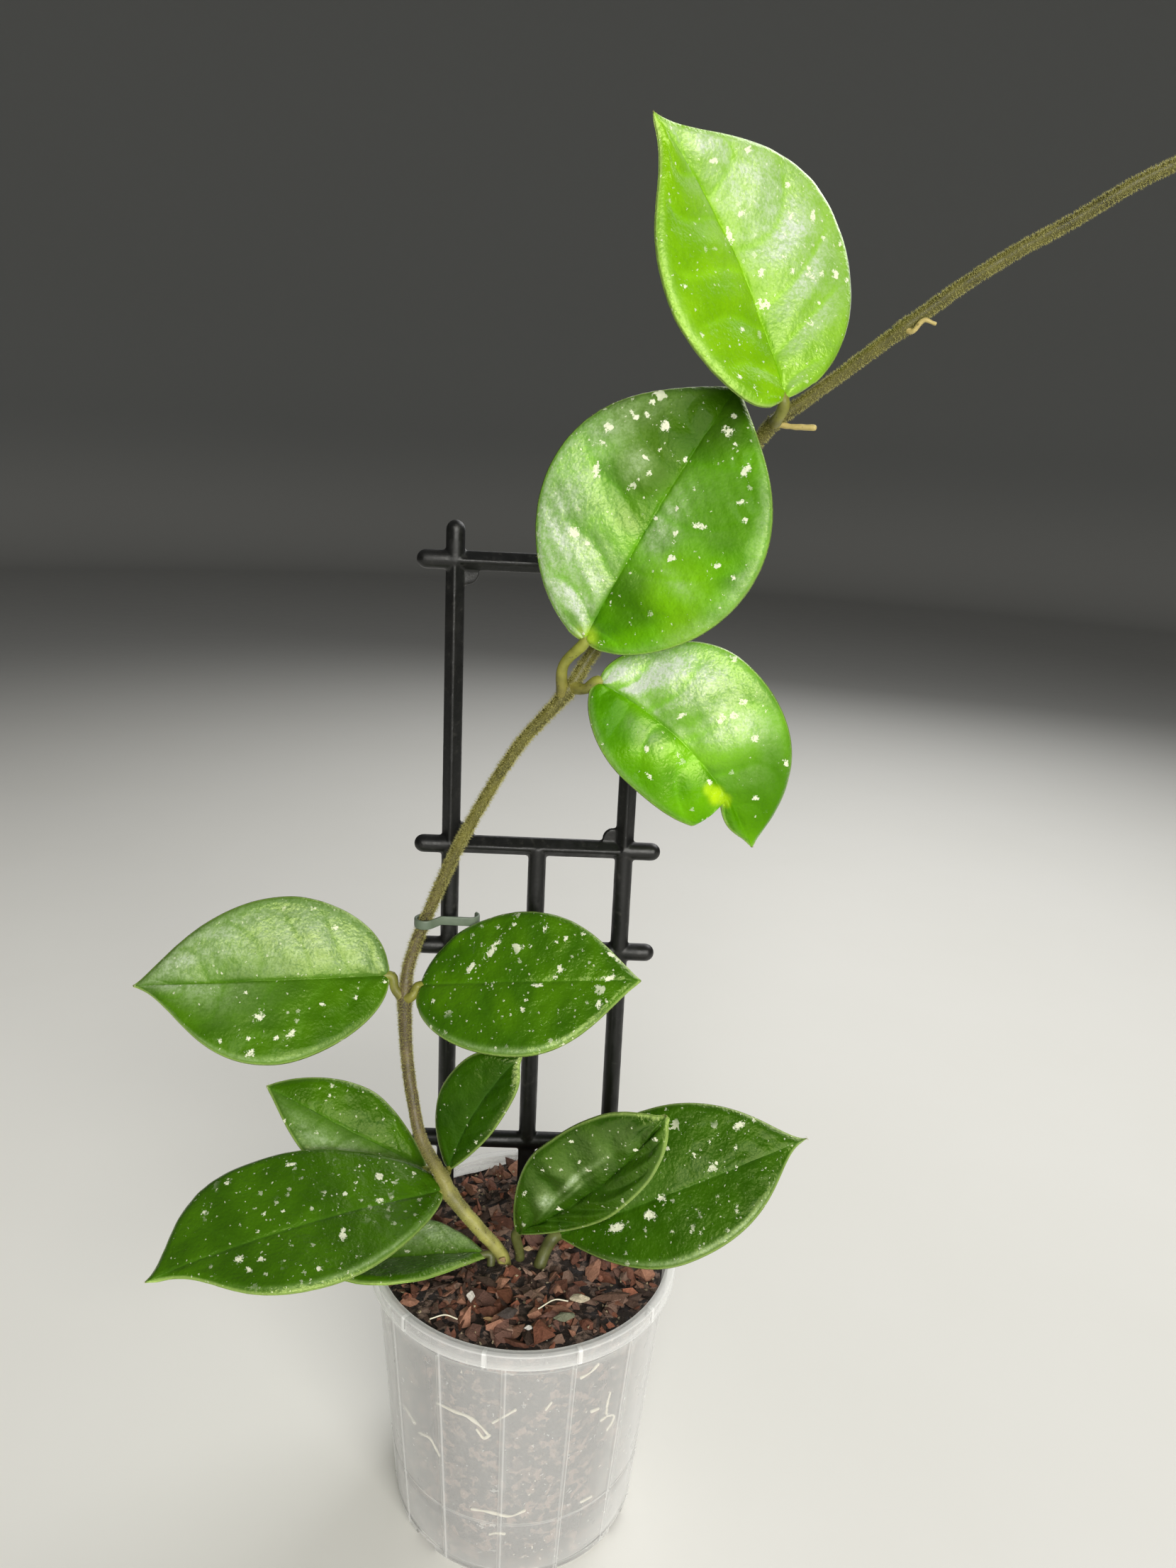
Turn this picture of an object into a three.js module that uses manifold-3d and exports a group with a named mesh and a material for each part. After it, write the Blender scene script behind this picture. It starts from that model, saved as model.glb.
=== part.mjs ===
// A hoya vine in a clear nursery pot, tied to a small ladder trellis.
// Millimetres, +Z up. The origin is the centre of the pot's underside, on the surface that it stands on.
// The plant is seen from -Y: +X is to the right and +Y is away.
import * as THREE from "three";
import { mergeVertices } from "three/addons/utils/BufferGeometryUtils.js";
import Module from "manifold-3d";

const wasm = await Module();
wasm.setup();

// ---------------------------------------------------------------- driving dimensions

const GAP = 0.3; // clearance between pieces that touch

// Pot: a conical wall with a flange and a down-turned skirt round its mouth.
const POT_HEIGHT = 119.5;
const POT_BASE_RADIUS = 50.5;
const POT_MOUTH_RADIUS = 59.6; // outside of the wall at the top
const POT_WALL = 0.9;
const POT_FLOOR = 1.6;
const POT_CHAMFER = 1.5;
const POT_SECTORS = 56;
const RIM_RADIUS = 62.5;
const SKIRT_DROP = 6.2;
const RIM_THICKNESS = 0.9;
const WALL_RIBS = 14;
const RIB_WIDTH = 2.4;
const RIB_PROUD = 0.5;
const RIB_FOOT = 2;
const RIB_HEAD_ROOM = 1.5; // between a rib's top and the skirt's lower edge
const RIB_PHASE = THREE.MathUtils.degToRad(-2.9); // from the front, towards +X
const GUSSETS = 11;
const GUSSET_WIDTH = 1.0;
const GUSSET_BITE = 0.4; // how far a gusset runs into what it joins
const GUSSET_PHASE = THREE.MathUtils.degToRad(-9.5);
const DRAIN_NOTCHES = 7;
const DRAIN_WIDTH = 11;
const DRAIN_HEIGHT = 3.2;
const DRAIN_REACH = 7; // how far a notch runs in under the floor
const DRAIN_CLEAR = 3; // how far its cutter stands out of the wall

// Potting mix: a mounded top with bark chips on it.
const MIX_LEVEL = 115.2;
const MIX_SECTORS = 28;
const MIX_RINGS = [1, 0.8, 0.6, 0.4, 0.2]; // shares of the radius
const MIX_HEAP = { x: -2, y: 37, height: 4.5, spread: 15 };
const MIX_HOLLOW = { x: -38, y: 42, height: -5, spread: 15 };
const CHIP_COUNT = 68;
const CHIP_SEED = 20;
const CHIP_LONG = [7.5, 13];
const CHIP_WIDE = [5, 8];
const CHIP_THICK = [4, 6];
const CHIP_LIFT = [-0.4, 0.6]; // height of a chip's middle over the mix
const CHIP_TILT = [-0.45, 0.45]; // radians
const CHIP_CORNER = [0.62, 1]; // how far out each corner keeps of a full block's

// Trellis: a moulded ladder, measured up its left post from where that meets the mix.
const TRELLIS_FOOT = [-37.8, 37.9, 115];
const TRELLIS_YAW = THREE.MathUtils.degToRad(1.7);
const TRELLIS_LEAN = THREE.MathUtils.degToRad(2.2);
const TRELLIS_ROLL = THREE.MathUtils.degToRad(0.4);
const BAR = 7.4;
const BAR_SIDES = 12;
const BAR_OVERLAP = 1; // how far a round bar runs into a ridged one
const RIDGE_BACK = 2.6; // from a ridged bar's middle to its flat back
const POST_SPACING = 35.6;
const RUNG_HEIGHTS = [24.8, 115.1, 159.5, 273.8];
const STUB = 14.8; // how far a rung runs past the outer posts, to the end of its dome
const POST_TOP = 288.9;
const STAKE_DEPTH = 40; // how far the stakes go down below the foot
const STAKE_POINT = 33; // length of a stake's point
const STAKE_THICKNESS = 4;
const CORNER_DISC = { radius: 4.6, thickness: 2, inset: 4.6 };

// Main vine: points up its axis, its radius at each, and which of them carry leaves.
const VINE = [
  [[-6, -8, 84], 2.2],
  [[-7, -9, 104], 2.6],
  [[-8, -9, 118], 2.7],
  [[-18, -8, 130], 2.7],
  [[-30.5, -4, 143], 2.9],
  [[-34, -1, 148], 2.7],
  [[-44, 8, 159], 2.4],
  [[-48.5, 14, 172], 2.4],
  [[-52, 20, 187], 2.4],
  [[-54.5, 27, 212], 2.7],
  [[-54, 31, 223], 2.3],
  [[-51, 34, 235], 2.3],
  [[-48, 35.5, 243], 2.2],
  [[-42.5, 35, 258], 2.2],
  [[-34.5, 35, 277.5], 2.1],
  [[-23, 34, 301], 2.1],
  [[-11, 32, 322], 2.1],
  [[6, 31, 343.5], 2.5],
  [[14, 35, 357], 2.1],
  [[29, 39, 379], 2.1],
  [[50, 40, 408.5], 2.1],
  [[70, 35, 438], 2.2],
  [[74.5, 32, 444.5], 2.5],
  [[85, 29, 453], 2.1],
  [[97.5, 24.5, 463.5], 2.1],
  [[113.5, 19, 477], 2.3],
  [[129.5, 15, 490], 2.1],
  [[145, 11, 501], 2.1],
  [[160, 7, 510], 2.0],
  [[174, 3, 519.5], 1.9],
  [[186, 0, 526], 1.8],
  [[198, -3, 531.5], 1.5],
  [[208, -5, 536], 0.9],
];
const VINE_SIDES = 8;
const VINE_STEP = 6.5;
const NODE_LOW = [-30.5, -4, 143];
const NODE_SECOND = [-34, -1, 148];
const NODE_MIDDLE = [-54.5, 27, 212];
const NODE_TOP = [74.5, 32, 444.5];

// Dried flower stalks on the vine.
const STUBS = [
  { path: [[74.5, 32, 444.5], [80, 29, 443.5], [88, 26, 443.5]], radii: [1.6, 0.9, 1.1] },
  { path: [[113.5, 19, 477], [115.5, 16, 475.5], [118.5, 14, 479], [122, 13, 478]], radii: [1.4, 0.9, 0.8, 0.7] },
];
const STUB_SIDES = 6;
const STUB_STEP = 3;

// Clip: a strap that runs across the front of the left post and hooks round the vine.
const CLIP_HEIGHT = 3.8;
const CLIP_THICKNESS = 1.2;
const CLIP_LEVEL = 241.2;
const CLIP_VINE_HOOK = { x: -47.9, y: 35.4, radius: 3.8, from: 100, to: 320, steps: 11 }; // degrees, in plan
const CLIP_POST_HOOK = { x: -30, y: 41.2, radius: 3.4, from: -90, to: 60, steps: 7 };
const CLIP_POST_FRONT = [-41.5, 37.6]; // where the strap meets the front of the post

// Leaves. base and tip are the ends of the blade's midrib, and face is the way that its upper side looks.
// sweep bends the midrib in the blade's own plane, fold lifts the halves from the midrib, dome turns their
// edges back down, and bow arches the midrib. left and right are the halves' outlines, seen from above with
// the tip ahead. petiole runs to the base from the stem, or from within the mix.
const BLADE = { thickness: 1.7, edge: 0.9, rows: 16, columns: 4 };
const NOTCH_LIP_ROWS = [1, 0.8, 0.5, 0.25, 0.1, 0.03, 0]; // shares of the notch's near side
const NOTCH_FAR_ROWS = [0.08, 0.25, 0.5, 0.75];
const PETIOLE = { sides: 8, step: 5, swell: 1.15, under: 0.6, reach: 5, tip: 0.6 };
const LEAVES = {
  leaf_top: {
    base: [75.5, 18, 452], tip: [24.5, 17.5, 537], face: [0.44, -0.86, 0.26],
    sweep: -10.5, fold: 0.3, dome: 0.25, bow: -6,
    left: { back: 3.5, out: 20, lead: 14, widest: 41, width: 36, trail: 31, taper: 19, swell: 7 },
    right: { back: 5, out: 27, lead: 20, widest: 41, width: 43, trail: 40, taper: 16, swell: 7.5 },
    petiole: { from: NODE_TOP, by: [75, 24, 446.5], radius: 2 },
  },
  leaf_upper: {
    base: [11.5, 22, 364.5], tip: [60.5, 28, 456], face: [-0.21, -0.96, 0.18],
    sweep: 0.5, fold: 0.2, dome: 0.25, bow: 6,
    left: { back: 5.5, out: 9.5, lead: 30.5, widest: 49, width: 41.5, trail: 30, taper: 13, swell: 20 },
    right: { back: 4.5, out: 10, lead: 31.5, widest: 47.5, width: 43, trail: 28.5, taper: 14, swell: 19 },
    petiole: { from: [4, 31, 341.5], by: [4, 27, 354], radius: 2 },
  },
  leaf_notched: {
    base: [18, 25, 348.5], tip: [80, 19, 288.5], face: [0.02, -0.99, 0.12],
    sweep: 8, fold: 0.15, dome: 0.3, bow: 8,
    left: { back: 8, out: 4.5, lead: 28.5, widest: 29.5, width: 37.5, trail: 48.5, taper: 5.5, swell: 16 },
    right: { back: 6, out: 1.5, lead: 22.5, widest: 32.5, width: 25, trail: 37, taper: 19, swell: 5 },
    notch: { at: 0.74, near: 0.05, far: 0.19, depth: 0.78 },
    petiole: { from: [7, 31.5, 345], by: [13, 27, 345.5], radius: 2 },
  },
  leaf_left: {
    base: [-61, 27, 222], tip: [-160.5, 12.5, 218.5], face: [0.1, -0.81, 0.57],
    sweep: 1, fold: 0.2, dome: 0.25, bow: 6,
    left: { back: 2, out: 17.5, lead: 16, widest: 43.5, width: 33, trail: 32, taper: 17.5, swell: 5 },
    right: { back: 2, out: 19, lead: 18, widest: 40, width: 33.5, trail: 30.5, taper: 12.5, swell: 9.5 },
    petiole: { from: NODE_MIDDLE, by: [-58.5, 27, 216], radius: 1.9 },
  },
  leaf_centre: {
    base: [-48.5, 27, 218.5], tip: [41, 10, 234.5], face: [-0.25, -0.71, 0.66],
    sweep: -1.5, fold: 0.12, dome: 0.3, bow: 6,
    left: { back: -1.5, out: 13, lead: 24.5, widest: 44, width: 29.5, trail: 27, taper: 10.5, swell: 9 },
    right: { back: 6.5, out: 15, lead: 25, widest: 45, width: 29.5, trail: 26.5, taper: 11.5, swell: 8 },
    petiole: { from: NODE_MIDDLE, by: [-51, 25, 214.5], radius: 1.9 },
  },
  leaf_small_back: {
    base: [-42, 13, 141.5], tip: [-110, 18, 173.5], face: [0.27, -0.69, 0.67],
    sweep: 1.5, fold: 0.25, dome: 0.25, bow: 5,
    left: { back: 0.5, out: 3, lead: 13, widest: 36, width: 18.5, trail: 17, taper: 8, swell: 4 },
    right: { back: 0, out: 2, lead: 13, widest: 36.5, width: 18, trail: 17, taper: 5.5, swell: 7 },
    petiole: { from: [-36, 1, 150.5], by: [-38, 6, 148], radius: 1.5 },
  },
  leaf_small_upright: {
    base: [-32.5, 3, 148.5], tip: [-4, 6.5, 202], face: [-0.29, -0.93, 0.21],
    sweep: 3, fold: 0.3, dome: 0.25, bow: 3,
    left: { back: 0.5, out: 2.5, lead: 13.5, widest: 32, width: 17, trail: 29, taper: 9, swell: 4 },
    right: { back: 0, out: 1, lead: 12.5, widest: 30.5, width: 10.5, trail: 27, taper: 10, swell: 2.5 },
    petiole: { from: NODE_SECOND, by: [-33, 1.5, 147.5], radius: 1.5 },
  },
  leaf_low_left: {
    base: [-33, -4, 144], tip: [-135, -53, 134.5], face: [0.01, -0.35, 0.94],
    sweep: 3, fold: 0.12, dome: 0.3, bow: 10,
    left: { back: 0, out: 6, lead: 25.5, widest: 51, width: 27, trail: 37, taper: 24, swell: 2 },
    right: { back: 5.5, out: 12, lead: 26, widest: 62.5, width: 34, trail: 40, taper: 14.5, swell: 11.5 },
    petiole: { from: NODE_LOW, by: [-32, -4.5, 143], radius: 2 },
  },
  leaf_under: {
    base: [-14, -10, 120.5], tip: [-84, -25.5, 122], face: [-0.03, 0.1, 0.99],
    sweep: 0.5, fold: 0.28, dome: 0.2, bow: 1,
    left: { back: -4, out: 3, lead: 22, widest: 41, width: 20, trail: 12, taper: 6, swell: 7 },
    right: { back: -3, out: 3, lead: 20, widest: 34, width: 24, trail: 22, taper: 10, swell: 7 },
    petiole: { from: [-12.5, -13, 100], by: [-12.6, -12, 115], radius: 1.6 },
  },
  leaf_cupped: {
    base: [-3, -7, 128], tip: [51.5, -26, 198], face: [-0.44, -0.89, 0.1],
    sweep: -5.5, fold: 0.45, dome: 0.1, bow: -4,
    left: { back: 1, out: 1.5, lead: 17, widest: 37, width: 25.5, trail: 45.5, taper: 6.5, swell: 0 },
    right: { back: 1.5, out: 0.5, lead: 14.5, widest: 44.5, width: 11, trail: 45, taper: 6, swell: 1.5 },
    petiole: { from: [-1.5, -4, 96], by: [-1.5, -5, 117], radius: 1.9 },
  },
  leaf_low_right: {
    base: [12.5, -3, 124.5], tip: [111, 1.5, 174], face: [-0.26, -0.77, 0.58],
    sweep: -1.5, fold: 0.12, dome: 0.3, bow: 8,
    left: { back: -1, out: 1.5, lead: 26.5, widest: 47, width: 34, trail: 42.5, taper: 11, swell: 3.5 },
    right: { back: -2, out: 0.5, lead: 26.5, widest: 49.5, width: 26, trail: 43.5, taper: 15, swell: 0 },
    petiole: { from: [6, -9.5, 96], by: [7.5, -8.5, 117], radius: 2.5 },
  },
};

// ---------------------------------------------------------------- colours

const finish = (color, roughness, metalness = 0) => ({ color, roughness, metalness });
const LOOKS = {
  pot: { ...finish(0xd9dcda, 0.35), transparent: true, opacity: 0.5 },
  mix: finish(0x4a2e24, 0.9),
  trellis: finish(0x17191a, 0.4),
  clip: finish(0x5f6f68, 0.5),
  vine: finish(0x6d6a3c, 0.75),
  leaf: finish(0x3f8a12, 0.3),
};

// ---------------------------------------------------------------- solids

const vec = (p) => new THREE.Vector3(...p);

// A closed geometry as a solid for joining and cutting.
function solid(geometry) {
  const bare = geometry.clone();
  bare.deleteAttribute("normal");
  bare.deleteAttribute("uv");
  const merged = mergeVertices(bare, 1e-4);
  const vertProperties = new Float32Array(merged.attributes.position.array);
  return new wasm.Manifold(
    new wasm.Mesh({ numProp: 3, vertProperties, triVerts: new Uint32Array(merged.index.array) }),
  );
}

function geometryOf(body) {
  const made = body.getMesh();
  const geometry = new THREE.BufferGeometry();
  geometry.setAttribute("position", new THREE.BufferAttribute(made.vertProperties.slice(), 3));
  geometry.setIndex(new THREE.BufferAttribute(made.triVerts.slice(), 1));
  return geometry;
}

const joined = (bodies) => bodies.reduce((whole, body) => whole.add(body));

const mesh = (name, geometry, look) => {
  const piece = new THREE.Mesh(geometry, new THREE.MeshStandardMaterial(look));
  piece.name = name;
  return piece;
};

// A geometry of points and of triangles between them.
function surface(place, faces) {
  const geometry = new THREE.BufferGeometry();
  geometry.setAttribute("position", new THREE.Float32BufferAttribute(place, 3));
  geometry.setIndex(faces);
  return geometry;
}

// A closed round stem along a smooth curve through the points, with its own radius at each.
function stem(points, radii, sides, step, extra = 0) {
  const curve = new THREE.CatmullRomCurve3(points.map(vec), false, "centripetal");
  const rings = Math.max(3, Math.round(curve.getLength() / step));
  const frames = curve.computeFrenetFrames(rings, false);
  const place = [];
  for (let i = 0; i <= rings; i++) {
    const t = curve.getUtoTmapping(i / rings);
    const centre = curve.getPoint(t);
    const knot = Math.min(points.length - 2, Math.floor(t * (points.length - 1)));
    const past = t * (points.length - 1) - knot;
    const radius = THREE.MathUtils.lerp(radii[knot], radii[knot + 1], past) + extra;
    for (let j = 0; j < sides; j++) {
      const turn = (2 * Math.PI * j) / sides;
      const spoke = frames.normals[i].clone().multiplyScalar(Math.cos(turn) * radius);
      spoke.addScaledVector(frames.binormals[i], Math.sin(turn) * radius);
      place.push(...spoke.add(centre).toArray());
    }
  }
  place.push(...curve.getPoint(0).toArray(), ...curve.getPoint(1).toArray());
  return surface(place, stemFaces(rings, sides));
}

// The triangles round a stack of rings, with a fan at each end whose middles are the last two points.
function stemFaces(rings, sides) {
  const faces = [];
  const first = (rings + 1) * sides;
  for (let j = 0; j < sides; j++) {
    const k = (j + 1) % sides;
    for (let i = 0; i < rings; i++) {
      const [a, b] = [i * sides + j, i * sides + k];
      faces.push(a, b, b + sides, a, b + sides, a + sides);
    }
    faces.push(first, k, j, first + 1, rings * sides + j, rings * sides + k);
  }
  return faces;
}

// ---------------------------------------------------------------- pot

const wallRadius = (z) => THREE.MathUtils.lerp(POT_BASE_RADIUS, POT_MOUTH_RADIUS, z / POT_HEIGHT);
const innerRadius = (z) => wallRadius(z) - POT_WALL;

function potShell() {
  const underRim = POT_HEIGHT - RIM_THICKNESS;
  const profile = [
    [0, 0],
    [POT_BASE_RADIUS - POT_CHAMFER, 0],
    [wallRadius(POT_CHAMFER), POT_CHAMFER],
    [wallRadius(underRim), underRim],
    [RIM_RADIUS - RIM_THICKNESS, underRim],
    [RIM_RADIUS - RIM_THICKNESS, POT_HEIGHT - SKIRT_DROP],
    [RIM_RADIUS, POT_HEIGHT - SKIRT_DROP],
    [RIM_RADIUS, POT_HEIGHT - RIM_THICKNESS / 3],
    [RIM_RADIUS - RIM_THICKNESS / 3, POT_HEIGHT],
    [innerRadius(POT_HEIGHT), POT_HEIGHT],
    [innerRadius(POT_FLOOR), POT_FLOOR],
    [0, POT_FLOOR],
  ].map(([r, z]) => new THREE.Vector2(r, z));
  return solid(new THREE.LatheGeometry(profile, POT_SECTORS).rotateX(Math.PI / 2));
}

// A block whose middle stands at a radius and an angle round the pot, from the front towards +X.
function blockAt(size, radius, z, angle, tilt = 0) {
  const block = new THREE.BoxGeometry(...size);
  block.rotateX(tilt);
  block.translate(0, -radius, z);
  return block.rotateZ(angle);
}

function wallRib(angle) {
  const top = POT_HEIGHT - SKIRT_DROP - RIB_HEAD_ROOM;
  const middle = (RIB_FOOT + top) / 2;
  const depth = POT_WALL / 2 + RIB_PROUD;
  const tilt = Math.atan((POT_MOUTH_RADIUS - POT_BASE_RADIUS) / POT_HEIGHT);
  const radius = wallRadius(middle) + RIB_PROUD - depth / 2;
  return solid(blockAt([RIB_WIDTH, depth, top - RIB_FOOT], radius, middle, angle, tilt));
}

function gusset(angle) {
  const height = SKIRT_DROP - RIM_THICKNESS;
  const inner = wallRadius(POT_HEIGHT - SKIRT_DROP) - GUSSET_BITE;
  const outer = RIM_RADIUS - RIM_THICKNESS + GUSSET_BITE;
  const z = POT_HEIGHT - RIM_THICKNESS - height / 2 + GUSSET_BITE;
  return solid(blockAt([GUSSET_WIDTH, outer - inner, height], (inner + outer) / 2, z, angle));
}

function drainNotch(angle) {
  const radius = POT_BASE_RADIUS + (DRAIN_CLEAR - DRAIN_REACH) / 2;
  return solid(blockAt([DRAIN_WIDTH, DRAIN_REACH + DRAIN_CLEAR, 2 * DRAIN_HEIGHT], radius, 0, angle));
}

const around = (count, phase, make) =>
  Array.from({ length: count }, (_, i) => make(phase + (2 * Math.PI * i) / count));

function pot() {
  const shell = joined([
    potShell(),
    ...around(WALL_RIBS, RIB_PHASE, wallRib),
    ...around(GUSSETS, GUSSET_PHASE, gusset),
  ]);
  const halfStep = Math.PI / WALL_RIBS;
  const notches = around(DRAIN_NOTCHES, RIB_PHASE + halfStep, drainNotch);
  return mesh("pot", geometryOf(shell.subtract(joined(notches))), LOOKS.pot);
}

// ---------------------------------------------------------------- trellis

const TRELLIS_MATRIX = new THREE.Matrix4().compose(
  vec(TRELLIS_FOOT),
  new THREE.Quaternion().setFromEuler(new THREE.Euler(-TRELLIS_LEAN, -TRELLIS_ROLL, TRELLIS_YAW, "ZYX")),
  new THREE.Vector3(1, 1, 1),
);
const HALF_BAR = BAR / 2;

// The section of the bars round the upper panel: a ridge in front and a flat back.
function ridgeSection() {
  const shape = new THREE.Shape();
  shape.moveTo(0, -HALF_BAR);
  shape.lineTo(HALF_BAR, 0);
  shape.lineTo(HALF_BAR, RIDGE_BACK);
  shape.lineTo(-HALF_BAR, RIDGE_BACK);
  shape.lineTo(-HALF_BAR, 0);
  shape.closePath();
  return shape;
}

// A bar up from the origin, ridged or round.
function bar(length, ridged) {
  if (ridged) {
    return new THREE.ExtrudeGeometry(ridgeSection(), { depth: length, bevelEnabled: false });
  }
  const round = new THREE.CylinderGeometry(HALF_BAR, HALF_BAR, length, BAR_SIDES);
  return round.rotateX(Math.PI / 2).translate(0, 0, length / 2);
}

const post = (x, low, high, ridged) => solid(bar(high - low, ridged).translate(x, 0, low));
const rung = (z, left, right, ridged) =>
  solid(bar(right - left, ridged).rotateY(Math.PI / 2).translate(left, 0, z));

function dome(x, z) {
  const ball = new THREE.SphereGeometry(HALF_BAR, BAR_SIDES, BAR_SIDES / 2);
  return solid(ball.rotateX(Math.PI / 2).translate(x, 0, z));
}

// A flat stake that goes down from the lowest rung to a point within the mix.
function stake(x, extra = 0) {
  const thickness = STAKE_THICKNESS + 2 * extra;
  const width = BAR + 2 * extra;
  const shape = new THREE.Shape();
  shape.moveTo(-width / 2, RUNG_HEIGHTS[0]);
  shape.lineTo(-width / 2, STAKE_POINT - STAKE_DEPTH);
  shape.lineTo(0, -STAKE_DEPTH - 2 * extra);
  shape.lineTo(width / 2, STAKE_POINT - STAKE_DEPTH);
  shape.lineTo(width / 2, RUNG_HEIGHTS[0]);
  shape.closePath();
  const flat = new THREE.ExtrudeGeometry(shape, { depth: thickness, bevelEnabled: false });
  return solid(flat.translate(0, 0, -thickness / 2).rotateX(Math.PI / 2).translate(x, 0, 0));
}

function cornerDisc(x, z) {
  const { radius, thickness } = CORNER_DISC;
  return solid(new THREE.CylinderGeometry(radius, radius, thickness, 16).translate(x, thickness / 2, z));
}

function trellis() {
  const [low, third, second, top] = RUNG_HEIGHTS;
  const right = 2 * POST_SPACING;
  const ends = [-STUB + HALF_BAR, right + STUB - HALF_BAR];
  const pieces = [];
  for (const x of [0, right]) {
    pieces.push(post(x, second, top, true), post(x, low, second + BAR_OVERLAP, false));
    pieces.push(post(x, top - BAR_OVERLAP, POST_TOP - HALF_BAR, false), dome(x, POST_TOP - HALF_BAR));
  }
  pieces.push(post(POST_SPACING, low, second, false));
  for (const z of RUNG_HEIGHTS) {
    if (z === top || z === second) {
      pieces.push(rung(z, ends[0], BAR_OVERLAP, false), rung(z, 0, right, true));
      pieces.push(rung(z, right - BAR_OVERLAP, ends[1], false));
    } else {
      pieces.push(rung(z, ...ends, false));
    }
    pieces.push(dome(ends[0], z), dome(ends[1], z));
  }
  const inset = CORNER_DISC.inset;
  for (const x of [inset, right - inset]) {
    pieces.push(cornerDisc(x, top - inset), cornerDisc(x, second + inset));
  }
  for (const x of [0, POST_SPACING, right]) {
    pieces.push(stake(x));
  }
  const piece = mesh("trellis", geometryOf(joined(pieces)), LOOKS.trellis);
  piece.applyMatrix4(TRELLIS_MATRIX);
  return piece;
}

// The slots that the stakes stand in.
function stakeHoles() {
  const slots = [0, POST_SPACING, 2 * POST_SPACING].map((x) => stake(x, GAP));
  return slots.map((slot) => solid(geometryOf(slot).applyMatrix4(TRELLIS_MATRIX)));
}

// ---------------------------------------------------------------- vine, clip and leaves

function vineSolid(extra = 0) {
  const points = VINE.map(([point]) => point);
  const radii = VINE.map(([, radius]) => radius);
  return solid(stem(points, radii, VINE_SIDES, VINE_STEP, extra));
}

function stubSolids(extra = 0) {
  return STUBS.map(({ path, radii }) => solid(stem(path, radii, STUB_SIDES, STUB_STEP, extra)));
}

const mainVine = () => mesh("main_vine", geometryOf(joined([vineSolid(), ...stubSolids()])), LOOKS.vine);

// The line of the strap's middle, in plan, from behind the vine to the end of the hook past the post.
function clipPath() {
  const line = [];
  const hook = ({ x, y, radius, from, to, steps }) => {
    for (let i = 0; i <= steps; i++) {
      const turn = THREE.MathUtils.degToRad(THREE.MathUtils.lerp(from, to, i / steps));
      line.push([x + radius * Math.cos(turn), y + radius * Math.sin(turn)]);
    }
  };
  hook(CLIP_VINE_HOOK);
  line.push(CLIP_POST_FRONT);
  hook(CLIP_POST_HOOK);
  return line.map(([x, y]) => new THREE.Vector2(x, y));
}

function plantClip() {
  const line = clipPath();
  const sides = [[], []];
  line.forEach((point, i) => {
    const ahead = line[Math.min(i + 1, line.length - 1)].clone().sub(line[Math.max(i - 1, 0)]).normalize();
    const across = new THREE.Vector2(-ahead.y, ahead.x).multiplyScalar(CLIP_THICKNESS / 2);
    sides[0].push(point.clone().add(across));
    sides[1].unshift(point.clone().sub(across));
  });
  const strap = new THREE.ExtrudeGeometry(new THREE.Shape([...sides[0], ...sides[1]]), {
    depth: CLIP_HEIGHT,
    bevelEnabled: false,
  });
  return mesh("plant_clip", strap.translate(0, 0, CLIP_LEVEL), LOOKS.clip);
}

// Half of a blade's outline in its plane, u from base to tip and v out from the midrib.
function halfOutline(half, length) {
  const at = (u, v) => new THREE.Vector2(u, v);
  const shoulder = new THREE.CubicBezierCurve(
    at(0, 0), at(-half.back, half.out), at(half.widest - half.lead, half.width), at(half.widest, half.width),
  );
  const point = new THREE.CubicBezierCurve(
    at(half.widest, half.width), at(half.widest + half.trail, half.width), at(length - half.taper, half.swell),
    at(length, 0),
  );
  return (s) => (s < 0.5 ? shoulder.getPoint(2 * s) : point.getPoint(2 * s - 1));
}

// How much of the half's width is left at s. A notch has a round lip on the base side and a plain one beyond.
function notchShare(notch, s) {
  if (!notch) return 1;
  const off = Math.min(1, s < notch.at ? (notch.at - s) / notch.near : (s - notch.at) / notch.far);
  return 1 - notch.depth * (1 - (s < notch.at ? Math.sqrt(off * (2 - off)) : off));
}

// The rows of a blade from base to tip, closer together at a notch.
function rowStations(notch) {
  const rows = Array.from({ length: BLADE.rows + 1 }, (_, i) => i / BLADE.rows);
  if (!notch) return rows;
  const lip = NOTCH_LIP_ROWS.map((share) => notch.at - share * notch.near);
  const beyond = NOTCH_FAR_ROWS.map((share) => notch.at + share * notch.far);
  const clear = rows.filter((s) => s < notch.at - 1.4 * notch.near || s > notch.at + 0.9 * notch.far);
  return [...clear, ...lip, ...beyond].sort((a, b) => a - b);
}

// The blade's own directions: ahead to the tip, across to its left, and the way its upper side looks.
function bladeFrame(leaf) {
  const ahead = vec(leaf.tip).sub(vec(leaf.base));
  const length = ahead.length();
  ahead.normalize();
  const face = vec(leaf.face);
  face.addScaledVector(ahead, -face.dot(ahead)).normalize();
  return { ahead, face, length, across: new THREE.Vector3().crossVectors(face, ahead) };
}

function bladeHeight(leaf, length, u, v) {
  const width = (leaf.left.width + leaf.right.width) / 2;
  const x = THREE.MathUtils.clamp(u / length, 0, 1);
  return leaf.fold * v * (1 - (2 * leaf.dome * v) / width) + 4 * leaf.bow * x * (1 - x);
}

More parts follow.
